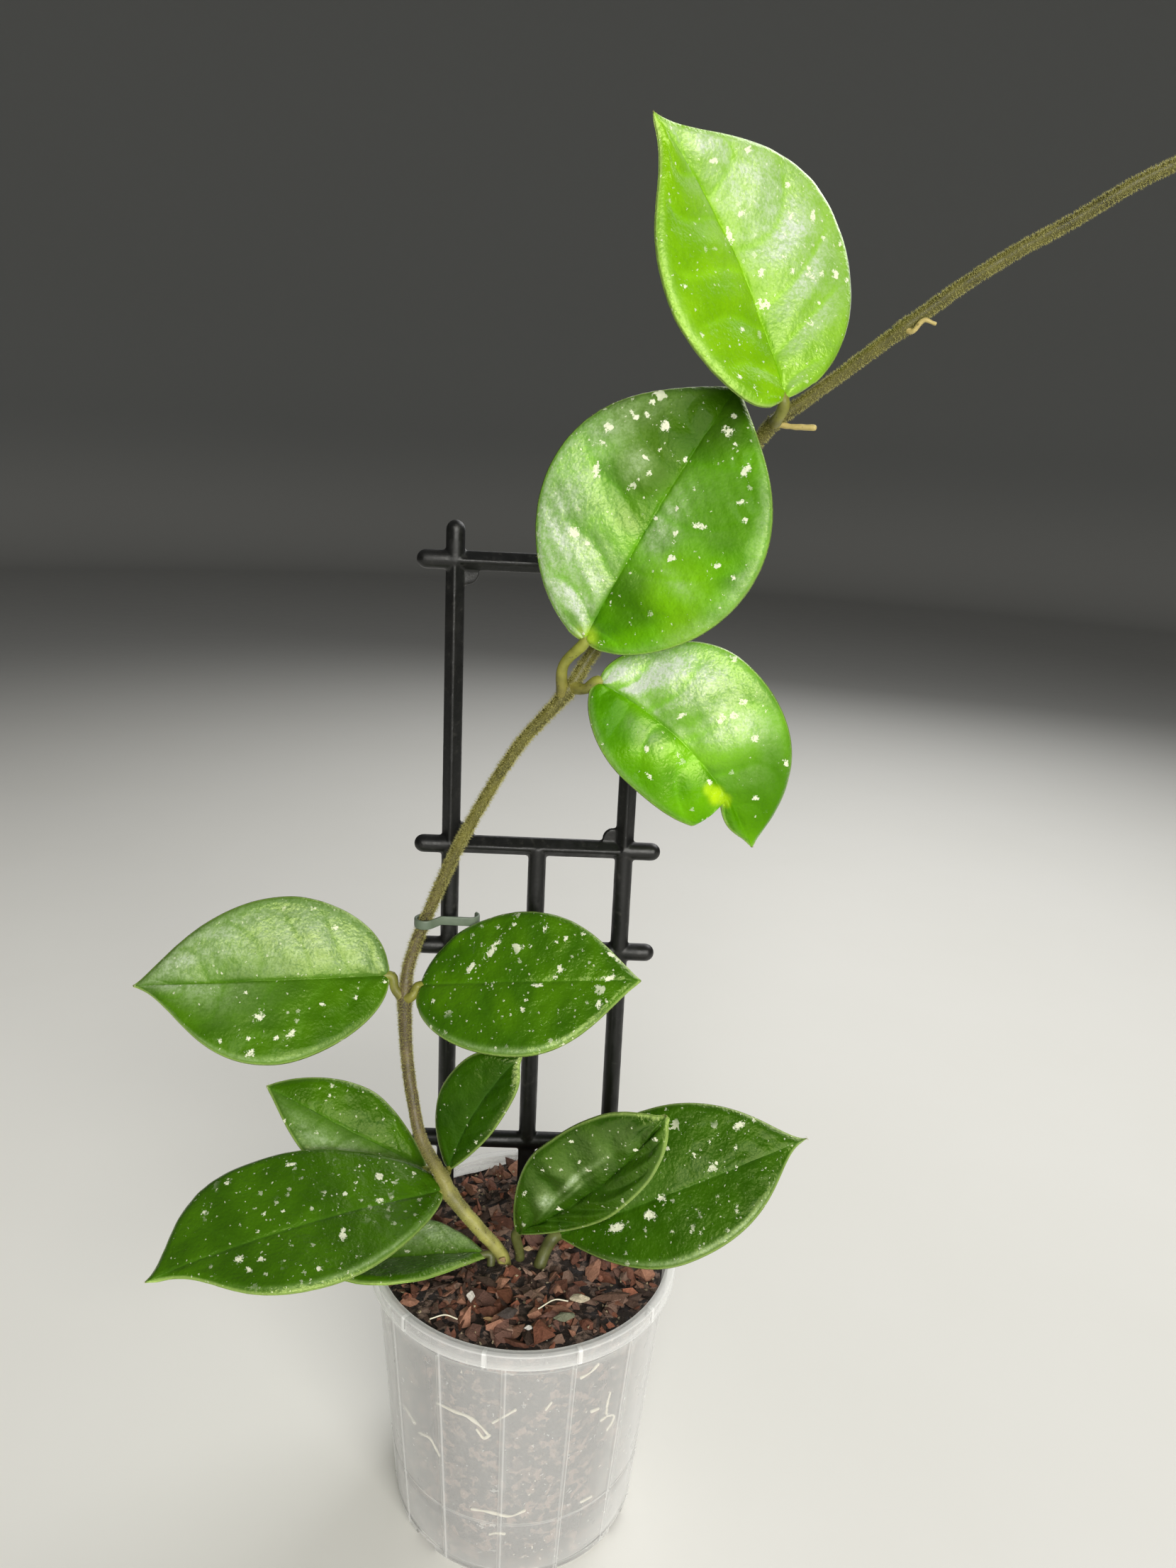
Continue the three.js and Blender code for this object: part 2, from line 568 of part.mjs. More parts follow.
function blade(leaf) {
  const { ahead, face, across, length } = bladeFrame(leaf);
  const rows = rowStations(leaf.notch);
  const last = rows.length - 1;
  const place = [];
  const put = (u, v, side, thickness) => {
    const x = THREE.MathUtils.clamp(u / length, 0, 1);
    const middle = vec(leaf.base).addScaledVector(ahead, u);
    middle.addScaledVector(across, side * v + 4 * leaf.sweep * x * (1 - x));
    middle.addScaledVector(face, bladeHeight(leaf, length, u, v));
    for (const half of [thickness / 2, -thickness / 2]) {
      place.push(...middle.clone().addScaledVector(face, half).toArray());
    }
    return place.length / 6 - 1;
  };
  const midrib = rows.map((s) => put(s * length, 0, 1, BLADE.thickness));
  const faces = [];
  for (const side of [1, -1]) {
    const outline = halfOutline(side > 0 ? leaf.left : leaf.right, length);
    const notch = side < 0 ? leaf.notch : undefined;
    const grid = rows.map((s, i) => {
      if (i === 0 || i === last) return Array(BLADE.columns + 1).fill(midrib[i]);
      const edge = outline(s);
      edge.x = THREE.MathUtils.lerp(s * length, edge.x, notchShare(notch, s));
      edge.y *= notchShare(notch, s);
      const row = [midrib[i]];
      for (let j = 1; j <= BLADE.columns; j++) {
        const t = j / BLADE.columns;
        const thickness = j === BLADE.columns ? BLADE.edge : BLADE.thickness;
        row.push(put(THREE.MathUtils.lerp(s * length, edge.x, t), t * edge.y, side, thickness));
      }
      return row;
    });
    addHalfFaces(faces, grid, side);
  }
  return surface(place, faces);
}

// Triangles over and under a half of the blade, split alike, and the strip round its edge.
function addHalfFaces(faces, grid, side) {
  const triangle = (a, b, c) => {
    if (a !== b && b !== c && a !== c) faces.push(...(side > 0 ? [a, b, c] : [a, c, b]));
  };
  const over = (k) => 2 * k;
  const under = (k) => 2 * k + 1;
  for (let i = 0; i + 1 < grid.length; i++) {
    const [near, far] = [grid[i], grid[i + 1]];
    for (let j = 0; j < BLADE.columns; j++) {
      triangle(over(near[j]), over(far[j]), over(far[j + 1]));
      triangle(over(near[j]), over(far[j + 1]), over(near[j + 1]));
      triangle(under(near[j]), under(far[j + 1]), under(far[j]));
      triangle(under(near[j]), under(near[j + 1]), under(far[j + 1]));
    }
    const [a, b] = [near[BLADE.columns], far[BLADE.columns]];
    triangle(over(a), over(b), under(b));
    triangle(over(a), under(b), under(a));
  }
}

// The leaf's stalk, which widens to its root, meets the base from below and runs on a little under the midrib.
function petiole(leaf, extra = 0) {
  const { ahead, face, length } = bladeFrame(leaf);
  const { from, by, radius } = leaf.petiole;
  const under = (u) => {
    const lift = bladeHeight(leaf, length, u, 0) - PETIOLE.under * radius;
    return vec(leaf.base).addScaledVector(ahead, u).addScaledVector(face, lift).toArray();
  };
  const radii = [radius * PETIOLE.swell, radius, radius, radius * PETIOLE.tip];
  return solid(stem([from, by, under(-1), under(PETIOLE.reach)], radii, PETIOLE.sides, PETIOLE.step, extra));
}

function leafMesh(name, leaf, vineRoom) {
  const whole = solid(blade(leaf)).add(petiole(leaf));
  return mesh(name, geometryOf(whole.subtract(vineRoom)), LOOKS.leaf);
}

// ---------------------------------------------------------------- potting mix

// A small repeatable generator of numbers from 0 to 1.
function seeded(seed) {
  let state = seed;
  return () => {
    state = (state * 1664525 + 1013904223) % 4294967296;
    return state / 4294967296;
  };
}

const bump = (at, x, y) => at.height * Math.exp(-((x - at.x) ** 2 + (y - at.y) ** 2) / (2 * at.spread ** 2));
const mixHeight = (x, y) => MIX_LEVEL + bump(MIX_HEAP, x, y) + bump(MIX_HOLLOW, x, y);

// The filling below the chips: a stack of rings from the pot's floor up the wall and in over the mounded top.
function mixBody() {
  const room = (z) => innerRadius(z) - GAP;
  const low = POT_FLOOR + GAP;
  const rings = [(x, y) => [room(low) * x, room(low) * y, low]];
  for (const share of MIX_RINGS) {
    rings.push((x, y) => {
      const near = room(MIX_LEVEL) * share;
      const z = Math.min(mixHeight(near * x, near * y), POT_HEIGHT);
      return [room(z) * share * x, room(z) * share * y, z];
    });
  }
  const place = [];
  for (const ring of rings) {
    for (let j = 0; j < MIX_SECTORS; j++) {
      const turn = (2 * Math.PI * j) / MIX_SECTORS;
      place.push(...ring(Math.cos(turn), Math.sin(turn)));
    }
  }
  place.push(0, 0, low, 0, 0, mixHeight(0, 0));
  return solid(surface(place, stemFaces(rings.length - 1, MIX_SECTORS)));
}

// A bark chip: a block with uneven, drawn-in corners.
function chip(between) {
  const size = [between(CHIP_LONG), between(CHIP_WIDE), between(CHIP_THICK)];
  const block = new THREE.BoxGeometry(...size).deleteAttribute("normal").deleteAttribute("uv");
  const geometry = mergeVertices(block);
  const place = geometry.attributes.position;
  for (let i = 0; i < place.count; i++) {
    const shares = [between(CHIP_CORNER), between(CHIP_CORNER), between(CHIP_CORNER)];
    place.setXYZ(i, place.getX(i) * shares[0], place.getY(i) * shares[1], place.getZ(i) * shares[2]);
  }
  return geometry;
}

// Chips all over the mix, on a sunflower-seed layout.
function chips() {
  const random = seeded(CHIP_SEED);
  const between = ([low, high]) => THREE.MathUtils.lerp(low, high, random());
  const reach = innerRadius(POT_HEIGHT) - GAP - CHIP_LONG[1] / 2;
  const golden = Math.PI * (3 - Math.sqrt(5));
  return Array.from({ length: CHIP_COUNT }, (_, i) => {
    const radius = reach * Math.sqrt((i + 0.5) / CHIP_COUNT);
    const [x, y] = [radius * Math.cos(i * golden), radius * Math.sin(i * golden)];
    const piece = chip(between);
    piece.rotateX(between(CHIP_TILT)).rotateY(between(CHIP_TILT)).rotateZ(2 * Math.PI * random());
    return solid(piece.translate(x, y, mixHeight(x, y) + between(CHIP_LIFT)));
  });
}

function pottingMix(holes) {
  const heaped = joined([mixBody(), ...chips()]);
  return mesh("potting_mix", geometryOf(heaped.subtract(joined(holes))), LOOKS.mix);
}

// ---------------------------------------------------------------- the whole plant

const plant = new THREE.Group();
const vineRoom = joined([vineSolid(GAP), ...stubSolids(GAP)]);
const standing = ["leaf_under", "leaf_cupped", "leaf_low_right"];
const stemHoles = standing.map((name) => petiole(LEAVES[name], GAP));
plant.add(pot(), pottingMix([vineRoom, ...stemHoles, ...stakeHoles()]), trellis(), plantClip(), mainVine());
for (const [name, leaf] of Object.entries(LEAVES)) {
  plant.add(leafMesh(name, leaf, vineRoom));
}

export default plant;
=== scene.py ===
"""Looks of a hoya vine in a clear nursery pot, tied to a small ladder trellis.

Lengths are in millimetres until a mesh is made. The plant is seen from -Y: +X is to the right and +Y is away.
"""
import math

import bpy
import bmesh
import numpy as np
from mathutils import Euler, Matrix, Vector


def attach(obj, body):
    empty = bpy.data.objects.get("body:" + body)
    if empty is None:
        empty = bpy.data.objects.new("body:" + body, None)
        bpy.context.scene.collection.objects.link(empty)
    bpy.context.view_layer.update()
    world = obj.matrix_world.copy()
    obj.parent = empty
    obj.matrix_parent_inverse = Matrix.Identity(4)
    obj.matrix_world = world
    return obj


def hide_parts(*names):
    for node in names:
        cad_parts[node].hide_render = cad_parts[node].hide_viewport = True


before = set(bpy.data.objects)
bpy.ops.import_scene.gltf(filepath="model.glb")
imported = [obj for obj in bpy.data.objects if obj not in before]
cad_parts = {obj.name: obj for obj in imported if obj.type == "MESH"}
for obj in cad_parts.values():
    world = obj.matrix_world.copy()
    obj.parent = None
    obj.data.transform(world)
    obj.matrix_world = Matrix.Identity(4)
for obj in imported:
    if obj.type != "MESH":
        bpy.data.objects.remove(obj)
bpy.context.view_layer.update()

MM = 0.001

# ---------------------------------------------------------------- the camera and the lights

# The camera as solved from the photograph.
CAMERA_PLACE = (0.015656, -0.390977, 0.432384)
CAMERA_DOWN = math.radians(16.5432)
CAMERA_ROLL = math.radians(3.2023)
PHOTO_HEIGHT = 2212  # pixels, as is the focal length
FOCAL_LENGTH = 1592.775
SENSOR = 36.0
NEAREST = 0.01

LIGHTS = {  # place, what it points at, size, power and colour
    "window": ((0.67, -2.55, 1.27), (0, 0, 0.3), (2.5, 1.8), 100, (1, 0.985, 0.93)),
    "overhead": ((0.8, 0.9, 1.4), (0, 0, 0.1), (1.0, 1.0), 11, (1, 1, 1)),
    "back_fill": ((0.4, 1.5, 0.9), (0, 0, 0.25), (1.2, 1.0), 5, (1, 1, 1)),
}
SKY = (1, 0.99, 0.97, 1)
SKY_STRENGTH = 0.14


def placed(name, data):
    """A new object in the scene."""
    thing = bpy.data.objects.new(name, data)
    bpy.context.scene.collection.objects.link(thing)
    return thing


def make_camera():
    down = Vector((0, math.cos(CAMERA_DOWN), -math.sin(CAMERA_DOWN)))
    level_up = Vector((0, math.sin(CAMERA_DOWN), math.cos(CAMERA_DOWN)))
    right = math.cos(CAMERA_ROLL) * Vector((1, 0, 0)) + math.sin(CAMERA_ROLL) * level_up
    up = math.cos(CAMERA_ROLL) * level_up - math.sin(CAMERA_ROLL) * Vector((1, 0, 0))
    camera = placed("camera", bpy.data.cameras.new("camera"))
    camera.matrix_world = Matrix.Translation(CAMERA_PLACE) @ Matrix((right, up, -down)).transposed().to_4x4()
    camera.data.sensor_width = SENSOR
    camera.data.lens = FOCAL_LENGTH * SENSOR / PHOTO_HEIGHT
    camera.data.clip_start = NEAREST
    bpy.context.scene.camera = camera


def make_lights():
    bpy.context.scene.view_settings.view_transform = "Standard"
    for name, (place, target, size, power, colour) in LIGHTS.items():
        light = bpy.data.lights.new(name, "AREA")
        light.shape = "RECTANGLE"
        light.size, light.size_y = size
        light.energy = power
        light.color = colour
        lamp = placed(name, light)
        lamp.location = place
        lamp.rotation_euler = (Vector(target) - Vector(place)).to_track_quat("-Z", "Y").to_euler()
    world = bpy.data.worlds.new("world")
    world.use_nodes = True
    background = world.node_tree.nodes["Background"]
    background.inputs["Color"].default_value = SKY
    background.inputs["Strength"].default_value = SKY_STRENGTH
    bpy.context.scene.world = world


# ---------------------------------------------------------------- materials

CREAM = (0.84, 0.86, 0.66)
# Colours of the painted sheen, thin and thick: a painted reflection of the sky on the leaves.
THIN_PAINTED_SHEEN = (0.45, 0.67, 0.19)
THICK_PAINTED_SHEEN = (0.62, 0.7, 0.58)


class Look:
    """A procedural material: a Principled shader and the nodes that feed it, in object space."""

    def __init__(self, name, **sockets):
        self.material = bpy.data.materials.new(name)
        self.material.use_nodes = True
        self.tree = self.material.node_tree
        self.shader = self.tree.nodes["Principled BSDF"]
        for socket, value in sockets.items():
            self.shader.inputs[socket.replace("_", " ")].default_value = value
        self.place = self.add("ShaderNodeTexCoord").outputs["Object"]

    def add(self, kind, links=None, **settings):
        node = self.tree.nodes.new(kind)
        for setting, value in settings.items():
            setattr(node, setting, value)
        for socket, value in (links or {}).items():
            self.feed(node.inputs[socket], value)
        return node

    def feed(self, socket, value):
        if isinstance(value, bpy.types.NodeSocket):
            self.tree.links.new(value, socket)
        else:
            socket.default_value = value

    def drive(self, socket, value):
        """Feeds a socket of the shader itself."""
        self.feed(self.shader.inputs[socket], value)

    def base(self, colour):
        self.drive("Base Color", colour)

    def noise(self, scale, detail=3.0, roughness=0.55, place=None):
        """Noise from 0 to 1, whose features are about 1000 / scale mm."""
        links = {"Vector": place or self.place, "Scale": scale, "Detail": detail, "Roughness": roughness}
        return self.add("ShaderNodeTexNoise", links).outputs["Fac"]

    def cells(self, scale, place=None):
        """A pattern of cells: its Distance is to a cell's middle, and its Color is random in each cell."""
        return self.add("ShaderNodeTexVoronoi", {"Vector": place or self.place, "Scale": scale}).outputs

    def pick(self, cells):
        """One random number in each cell."""
        return self.add("ShaderNodeSeparateColor", {"Color": cells["Color"]}).outputs["Red"]

    def wobbled(self, scale, amount):
        """The place, pushed about by noise."""
        links = {"Vector": self.place, "Scale": scale, "Detail": 4.0, "Roughness": 0.7}
        noise = self.add("ShaderNodeTexNoise", links).outputs["Color"]
        centred = self.add("ShaderNodeVectorMath", {0: noise, 1: (0.5,) * 3}, operation="SUBTRACT")
        scaled = self.add("ShaderNodeVectorMath", {0: centred.outputs[0], "Scale": amount}, operation="SCALE")
        return self.add("ShaderNodeVectorMath", {0: self.place, 1: scaled.outputs[0]}).outputs[0]

    def stretched(self, scale):
        return self.add("ShaderNodeMapping", {"Vector": self.place, "Scale": scale}).outputs[0]

    def calc(self, operation, total, *values):
        for value in values:
            total = self.add("ShaderNodeMath", {0: total, 1: value}, operation=operation).outputs[0]
        return total

    def plus(self, *values):
        return self.calc("ADD", *values)

    def times(self, *values):
        return self.calc("MULTIPLY", *values)

    def most(self, *values):
        return self.calc("MAXIMUM", *values)

    def below(self, value, limit):
        return self.calc("LESS_THAN", value, limit)

    def ramp(self, value, low, high, start=0.0, end=1.0):
        """A smooth step of the value from low to high."""
        links = {"Value": value, "From Min": low, "From Max": high, "To Min": start, "To Max": end}
        return self.add("ShaderNodeMapRange", links, interpolation_type="SMOOTHSTEP").outputs[0]

    def mix(self, factor, first, second, blend="MIX"):
        node = self.add("ShaderNodeMix", data_type="RGBA", blend_type=blend)
        for index, value in ((0, factor), (6, first), (7, second)):
            colour = isinstance(value, tuple) and len(value) == 3
            self.feed(node.inputs[index], value + (1.0,) if colour else value)
        return node.outputs[2]

    def shaded(self, colour, value, low, high):
        """A colour times one that goes from low to high with the value."""
        return self.mix(1.0, colour, self.mix(value, low, high), "MULTIPLY")

    def layer(self, name, output="Fac"):
        """Numbers or colours that the mesh carries at its points."""
        return self.add("ShaderNodeAttribute", attribute_name=name).outputs[output]

    def bump(self, height, distance, under=None):
        """Bumps of a height map, whose depth is distance in mm."""
        links = {"Height": height, "Distance": distance * MM, "Strength": 1.0}
        if under is not None:
            links["Normal"] = under
        normal = self.add("ShaderNodeBump", links).outputs["Normal"]
        self.drive("Normal", normal)
        return normal

    def rough(self, value, start, end):
        """Roughness from start to end as the value, which is noise, rises."""
        self.drive("Roughness", self.ramp(value, 0.3, 0.7, start, end))


def flecks(look, scale, share, size, ragged):
    """Pale flecks of mixed sizes, one in some of the cells of a pattern."""
    cells = look.cells(scale, look.wobbled(ragged, 3.2 / ragged))
    radius = look.ramp(look.pick(cells), 1 - share, 1.0, 0.0, size)
    radius = look.times(radius, look.noise(2 * ragged, 4, 0.7))
    return look.below(cells["Distance"], look.times(radius, 2.0))


def leaf_look(share):
    """A glossy leaf. Its layers are the greens (tint), which hold some painted shade and light, a sheen
    painted on them (veil), which is a painted reflection of the sky, where it is dull (matt), the upper side
    (upper) and the large cream flecks, inside which spot is below 0."""
    look = Look("leaf", Coat_Weight=0.05, Coat_Roughness=0.12, IOR=1.62, Specular_Tint=(0.87, 1.0, 0.36, 1.0))
    green = look.shaded(look.layer("tint", "Color"), look.noise(120, 4), (0.82, 0.84, 0.8), (1.16, 1.12, 1.1))
    green = look.shaded(green, look.noise(900, 3), (0.88, 0.89, 0.85), (1.1, 1.08, 1.1))
    leather = look.plus(look.noise(420, 4, 0.6), look.noise(1100, 3, 0.6))
    # The painted sheen over the greens, broken up by a leathery grain.
    painted_sheen = look.times(look.layer("painted_sheen"), look.ramp(leather, 0.75, 1.25, 0.7, 1.3))
    green = look.mix(painted_sheen, green, look.mix(painted_sheen, THIN_PAINTED_SHEEN, THICK_PAINTED_SHEEN))
    cluster = look.ramp(look.noise(32, 2), 0.4, 0.62)
    large = look.times(flecks(look, 120, 2.2 * share, 0.24, 420), cluster)
    medium = look.times(flecks(look, 290, 1.6 * share, 0.26, 900), look.ramp(cluster, 0, 1, 0.4, 1))
    fine = look.times(flecks(look, 640, 1.5 * share, 0.24, 1500), 0.7)
    ragged = look.times(look.noise(680, 5, 0.8), 5.0)
    given = look.ramp(look.plus(look.layer("spot"), ragged), 2.46, 2.36)
    every = look.most(look.times(look.most(large, medium, fine), look.layer("upper")), given)
    look.base(look.mix(look.times(every, 0.92), green, CREAM))
    matt = look.layer("matt")
    look.drive("Specular IOR Level", look.ramp(matt, 0, 1, 0.5, 0.06))
    shine = look.ramp(look.noise(220, 3), 0.3, 0.75, 0.15, 0.24)
    dull = look.plus(shine, look.times(matt, 0.12), look.times(every, 0.25))
    look.drive("Roughness", dull)
    pebbles = look.plus(look.noise(620, 3), look.times(look.cells(760)["Distance"], -0.6))
    look.bump(pebbles, 0.2, look.bump(look.noise(250, 5, 0.65), 0.5))
    return look.material


def stalk_look():
    look = Look("stalk", Coat_Weight=0.1)
    streaks = look.noise(420, 4, 0.6)
    colour = look.shaded(look.layer("tint", "Color"), streaks, (0.7, 0.68, 0.6), (1.25, 1.25, 1.2))
    specks = look.below(look.cells(430, look.wobbled(500, 0.001))["Distance"], 0.16)
    look.base(look.mix(look.times(specks, 0.5), colour, (0.06, 0.045, 0.015)))
    look.rough(streaks, 0.45, 0.65)
    look.bump(look.noise(900, 3), 0.15)
    return look.material


def hair_look():
    look = Look("hairs", Roughness=0.6)
    look.base(look.mix(look.noise(300), (0.28, 0.26, 0.055), (0.7, 0.66, 0.24)))
    return look.material


def trellis_look():
    """Black plastic, worn in places and dusty in others."""
    look = Look("black_plastic", Specular_IOR_Level=0.45)
    worn = look.ramp(look.noise(45, 5), 0.52, 0.78)
    dust = look.ramp(look.noise(380, 4), 0.55, 0.8)
    colour = look.mix(worn, (0.004, 0.0042, 0.004), (0.011, 0.0105, 0.0095))
    look.base(look.mix(look.times(dust, 0.45), colour, (0.05, 0.048, 0.042)))
    look.drive("Roughness", look.ramp(look.noise(170, 4), 0.35, 0.7, 0.33, 0.5))
    look.bump(look.noise(650, 3), 0.08)
    return look.material


def clip_look():
    look = Look("clip_plastic")
    look.base(look.mix(look.noise(260, 4), (0.085, 0.12, 0.082), (0.17, 0.21, 0.15)))
    look.rough(look.noise(300), 0.38, 0.55)
    look.bump(look.noise(700), 0.06)
    return look.material


def pot_look():
    """Frosted plastic with dried water marks, which is less clear where it is marked or thick."""
    look = Look("clear_plastic", IOR=1.49)
    runs = look.ramp(look.noise(120, 4, place=look.stretched((1, 1, 0.22))), 0.52, 0.74)
    marks = flecks(look, 210, 0.22, 0.2, 420)
    specks = flecks(look, 620, 0.1, 0.25, 900)
    white = look.most(look.times(runs, 0.06), look.times(marks, 0.45), look.times(specks, 0.7))
    look.base(look.mix(white, (0.93, 0.93, 0.925), (0.97, 0.97, 0.94)))
    facing = look.add("ShaderNodeLayerWeight", {"Blend": 0.5}).outputs["Facing"]
    haze = look.plus(look.layer("thick"), look.ramp(facing, 0.45, 1.0, 0.0, 0.45), look.times(white, 0.4))
    look.drive("Alpha", haze)
    look.rough(look.noise(90, 3), 0.26, 0.42)
    look.bump(look.noise(160, 3), 0.05)
    return look.material


def bark_look():
    look = Look("bark", Specular_IOR_Level=0.3)
    grain = look.noise(700, 5, 0.65, look.wobbled(200, 0.004))
    look.base(look.shaded(look.layer("tint", "Color"), grain, (0.45, 0.42, 0.4), (1.5, 1.45, 1.4)))
    look.rough(grain, 0.95, 0.7)
    look.bump(look.noise(1300, 4), 0.3, look.bump(grain, 0.9))
    return look.material


def mix_look():
    """Bark in the dark of the fines, with pale bits here and there."""
    look = Look("mix", Specular_IOR_Level=0.3)
    place = look.wobbled(200, 0.005)
    chunks = look.noise(210, 4, place=place)
    hue = look.pick(look.cells(360.0, place))
    bark = look.mix(look.ramp(hue, 0.25, 0.8), (0.035, 0.03, 0.03), (0.27, 0.185, 0.145))
    colour = look.mix(look.ramp(chunks, 0.42, 0.56), (0.03, 0.022, 0.018), bark)
    pale = look.below(look.cells(330, place)["Distance"], look.ramp(look.noise(60), 0.5, 0.75, 0.0, 0.2))
    look.base(look.mix(look.times(pale, 0.9), colour, (0.8, 0.74, 0.6)))
    look.rough(look.noise(500), 0.95, 0.75)
    look.bump(look.noise(600, 4), 0.8, look.bump(chunks, 2.0))
    return look.material


def root_look():
    look = Look("root", Roughness=0.6)
    look.base(look.mix(look.noise(400, 3), (0.75, 0.68, 0.48), (0.95, 0.92, 0.78)))
    look.bump(look.noise(900), 0.15)
    return look.material


def floor_look():
    """Pale round the plant, and greyer far away and up the backdrop."""
    look = Look("floor", Specular_IOR_Level=0.08)
    pale = look.mix(look.noise(6, 4), (0.86, 0.85, 0.8), (0.9, 0.89, 0.85))
    away = look.add("ShaderNodeVectorMath", {0: look.place}, operation="LENGTH").outputs["Value"]
    pale = look.mix(look.ramp(away, 0.3, 2.2), pale, (0.3, 0.3, 0.29))
    height = look.add("ShaderNodeSeparateXYZ", {"Vector": look.place}).outputs["Z"]
    look.base(look.mix(look.ramp(height, 0.0, 0.5), pale, (0.19, 0.195, 0.19)))
    look.rough(look.noise(30), 0.75, 0.9)
    return look.material


# ---------------------------------------------------------------- mesh making

CAP = np.array([0.95, 0.75, 0.4])  # where a tube's rounded end has its rings, as shares of its reach
CAP_REACH = 0.8  # how far that end goes, in radii
STEM_SIDES = 18
HAIR_FOOT = 0.15  # how deep a hair starts under the surface
HAIR_CORNERS = (0, 2.094, 4.189)  # a third of a turn apart


def unit(v):
    return v / np.maximum(np.linalg.norm(v, axis=-1, keepdims=True), 1e-9)


def vec(*p):
    return np.array(p, float)


def new_mesh(name, points, faces, material, smooth=True):
    mesh = bpy.data.meshes.new(name)
    mesh.from_pydata(points, [], faces)
    mesh.polygons.foreach_set("use_smooth", [smooth] * len(mesh.polygons))
    mesh.materials.append(material)
    return mesh


def piece(name, points, faces, material, slot, layers=None, smooth=True, stands_for=()):
    """A piece of the plant from points in mm. layers holds one number or colour for each point."""
    mesh = new_mesh(name, (np.asarray(points) * MM).tolist(), faces, material, smooth)
    for layer, values in (layers or {}).items():
        values = np.asarray(values, np.float32)
        if values.ndim == 2:
            colours = np.concatenate([values, np.ones((len(values), 1), np.float32)], axis=1)
            data = mesh.color_attributes.new(layer, "FLOAT_COLOR", "POINT").data
            data.foreach_set("color", colours.ravel())
        else:
            mesh.attributes.new(layer, "FLOAT", "POINT").data.foreach_set("value", values)
    thing = placed(name, mesh)
    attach(thing, "root")
    if stands_for:
        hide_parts(*stands_for)
    return thing


def applied(thing):
    """Applies all of an object's modifiers."""
    depsgraph = bpy.context.evaluated_depsgraph_get()
    mesh = bpy.data.meshes.new_from_object(thing.evaluated_get(depsgraph))
    mesh.name = thing.name
    thing.modifiers.clear()
    thing.data = mesh


class Heap:
    """Points and faces of several closed shells that make one piece."""

    def __init__(self):
        self.points, self.faces, self.tints, self.count = [], [], [], 0

    def add(self, points, faces, tint=None):
        self.points.append(np.asarray(points, float))
        self.faces += [[int(k) + self.count for k in face] for face in faces]
        if tint is not None:
            self.tints.append(np.broadcast_to(np.asarray(tint, float), (len(points), 3)))
        self.count += len(points)

    def make(self, name, material, slot, smooth=True, stands_for=()):
        layers = {"tint": np.concatenate(self.tints)} if self.tints else {}
        points = np.concatenate(self.points)
        return piece(name, points, self.faces, material, slot, layers, smooth, stands_for)


def waves(seed, points, lengths, count=9):
    """Smooth noise of about -1 to 1 at points, from plane waves whose lengths lie in a range."""
    rng = np.random.default_rng(seed)
    total = np.zeros(points.shape[:-1])
    for _ in range(count):
        direction = unit(rng.normal(size=points.shape[-1]))
        total += np.sin(points @ direction * 2 * np.pi / rng.uniform(*lengths) + rng.uniform(0, 2 * np.pi))
    return total / math.sqrt(count)


def smooth_path(points, step):
    """A centripetal Catmull-Rom curve: its points, and each one's place among the given ones."""
    p = np.array(points, float)
    p = np.array([2 * p[0] - p[1], *p, 2 * p[-1] - p[-2]])
    out, knots = [], []
    for i in range(1, len(p) - 2):
        a, b, c, d = p[i - 1:i + 3]
        ab, bc, cd = (max(np.linalg.norm(q - r) ** 0.5, 1e-4) for q, r in ((a, b), (b, c), (c, d)))
        start = ((b - a) / ab - (c - a) / (ab + bc) + (c - b) / bc) * bc
        end = ((c - b) / bc - (d - b) / (bc + cd) + (d - c) / cd) * bc
        n = max(2, round(np.linalg.norm(c - b) / step))
        for t in np.arange(n + (i == len(p) - 3)) / n:
            cubic = (2 * b - 2 * c + start + end) * t ** 3 + (-3 * b + 3 * c - 2 * start - end) * t ** 2
            out.append(cubic + start * t + b)
            knots.append(i - 1 + t)
    return np.array(out), np.array(knots)


def path_frames(path):
    """Directions along a path and two square to it that turn with it as little as they can."""
    ahead = unit(np.gradient(path, axis=0))
    side = np.cross(ahead[0], vec(0.3, 0.2, 1) if abs(ahead[0][2]) < 0.9 else vec(1, 0, 0))
    sides = []
    for a in ahead:
        side = unit(side - a * np.dot(side, a))
        sides.append(side)
    sides = np.array(sides)
    return ahead, sides, np.cross(ahead, sides)


def turns(sides):
    """Angles round a circle, one for each side."""
    return np.arange(sides) * 2 * np.pi / sides


def tube(path, radii, sides, rough=0.0, seed=1):
    """A closed tube along a path, with rounded ends: its points, faces and each point's way out."""
    ahead = unit(np.gradient(path, axis=0))
    head = [path[0] - ahead[0] * radii[0] * CAP_REACH * c for c in CAP]
    tail = [path[-1] + ahead[-1] * radii[-1] * CAP_REACH * c for c in CAP[::-1]]
    path = np.concatenate([head, path, tail])
    shrink = np.sqrt(1 - CAP ** 2)
    radii = np.concatenate([radii[0] * shrink, radii, radii[-1] * shrink[::-1]])
    _, side, other = path_frames(path)
    turn = turns(sides)
    spokes = np.cos(turn)[None, :, None] * side[:, None] + np.sin(turn)[None, :, None] * other[:, None]
    points = path[:, None] + spokes * radii[:, None, None]
    if rough:
        points += spokes * (waves(seed, points, (3, 12)) * rough)[..., None]
    return *sleeve(points), spokes.reshape(-1, 3)


def sleeve(rings):
    """The points and faces of a closed solid from a stack of rings, which has a flat face at each end."""
    rings = np.asarray(rings, float)
    grid = np.arange(rings.shape[0] * rings.shape[1]).reshape(rings.shape[:2])
    return rings.reshape(-1, 3), quads(grid, wrap=True) + [grid[0][::-1].tolist(), grid[-1].tolist()]


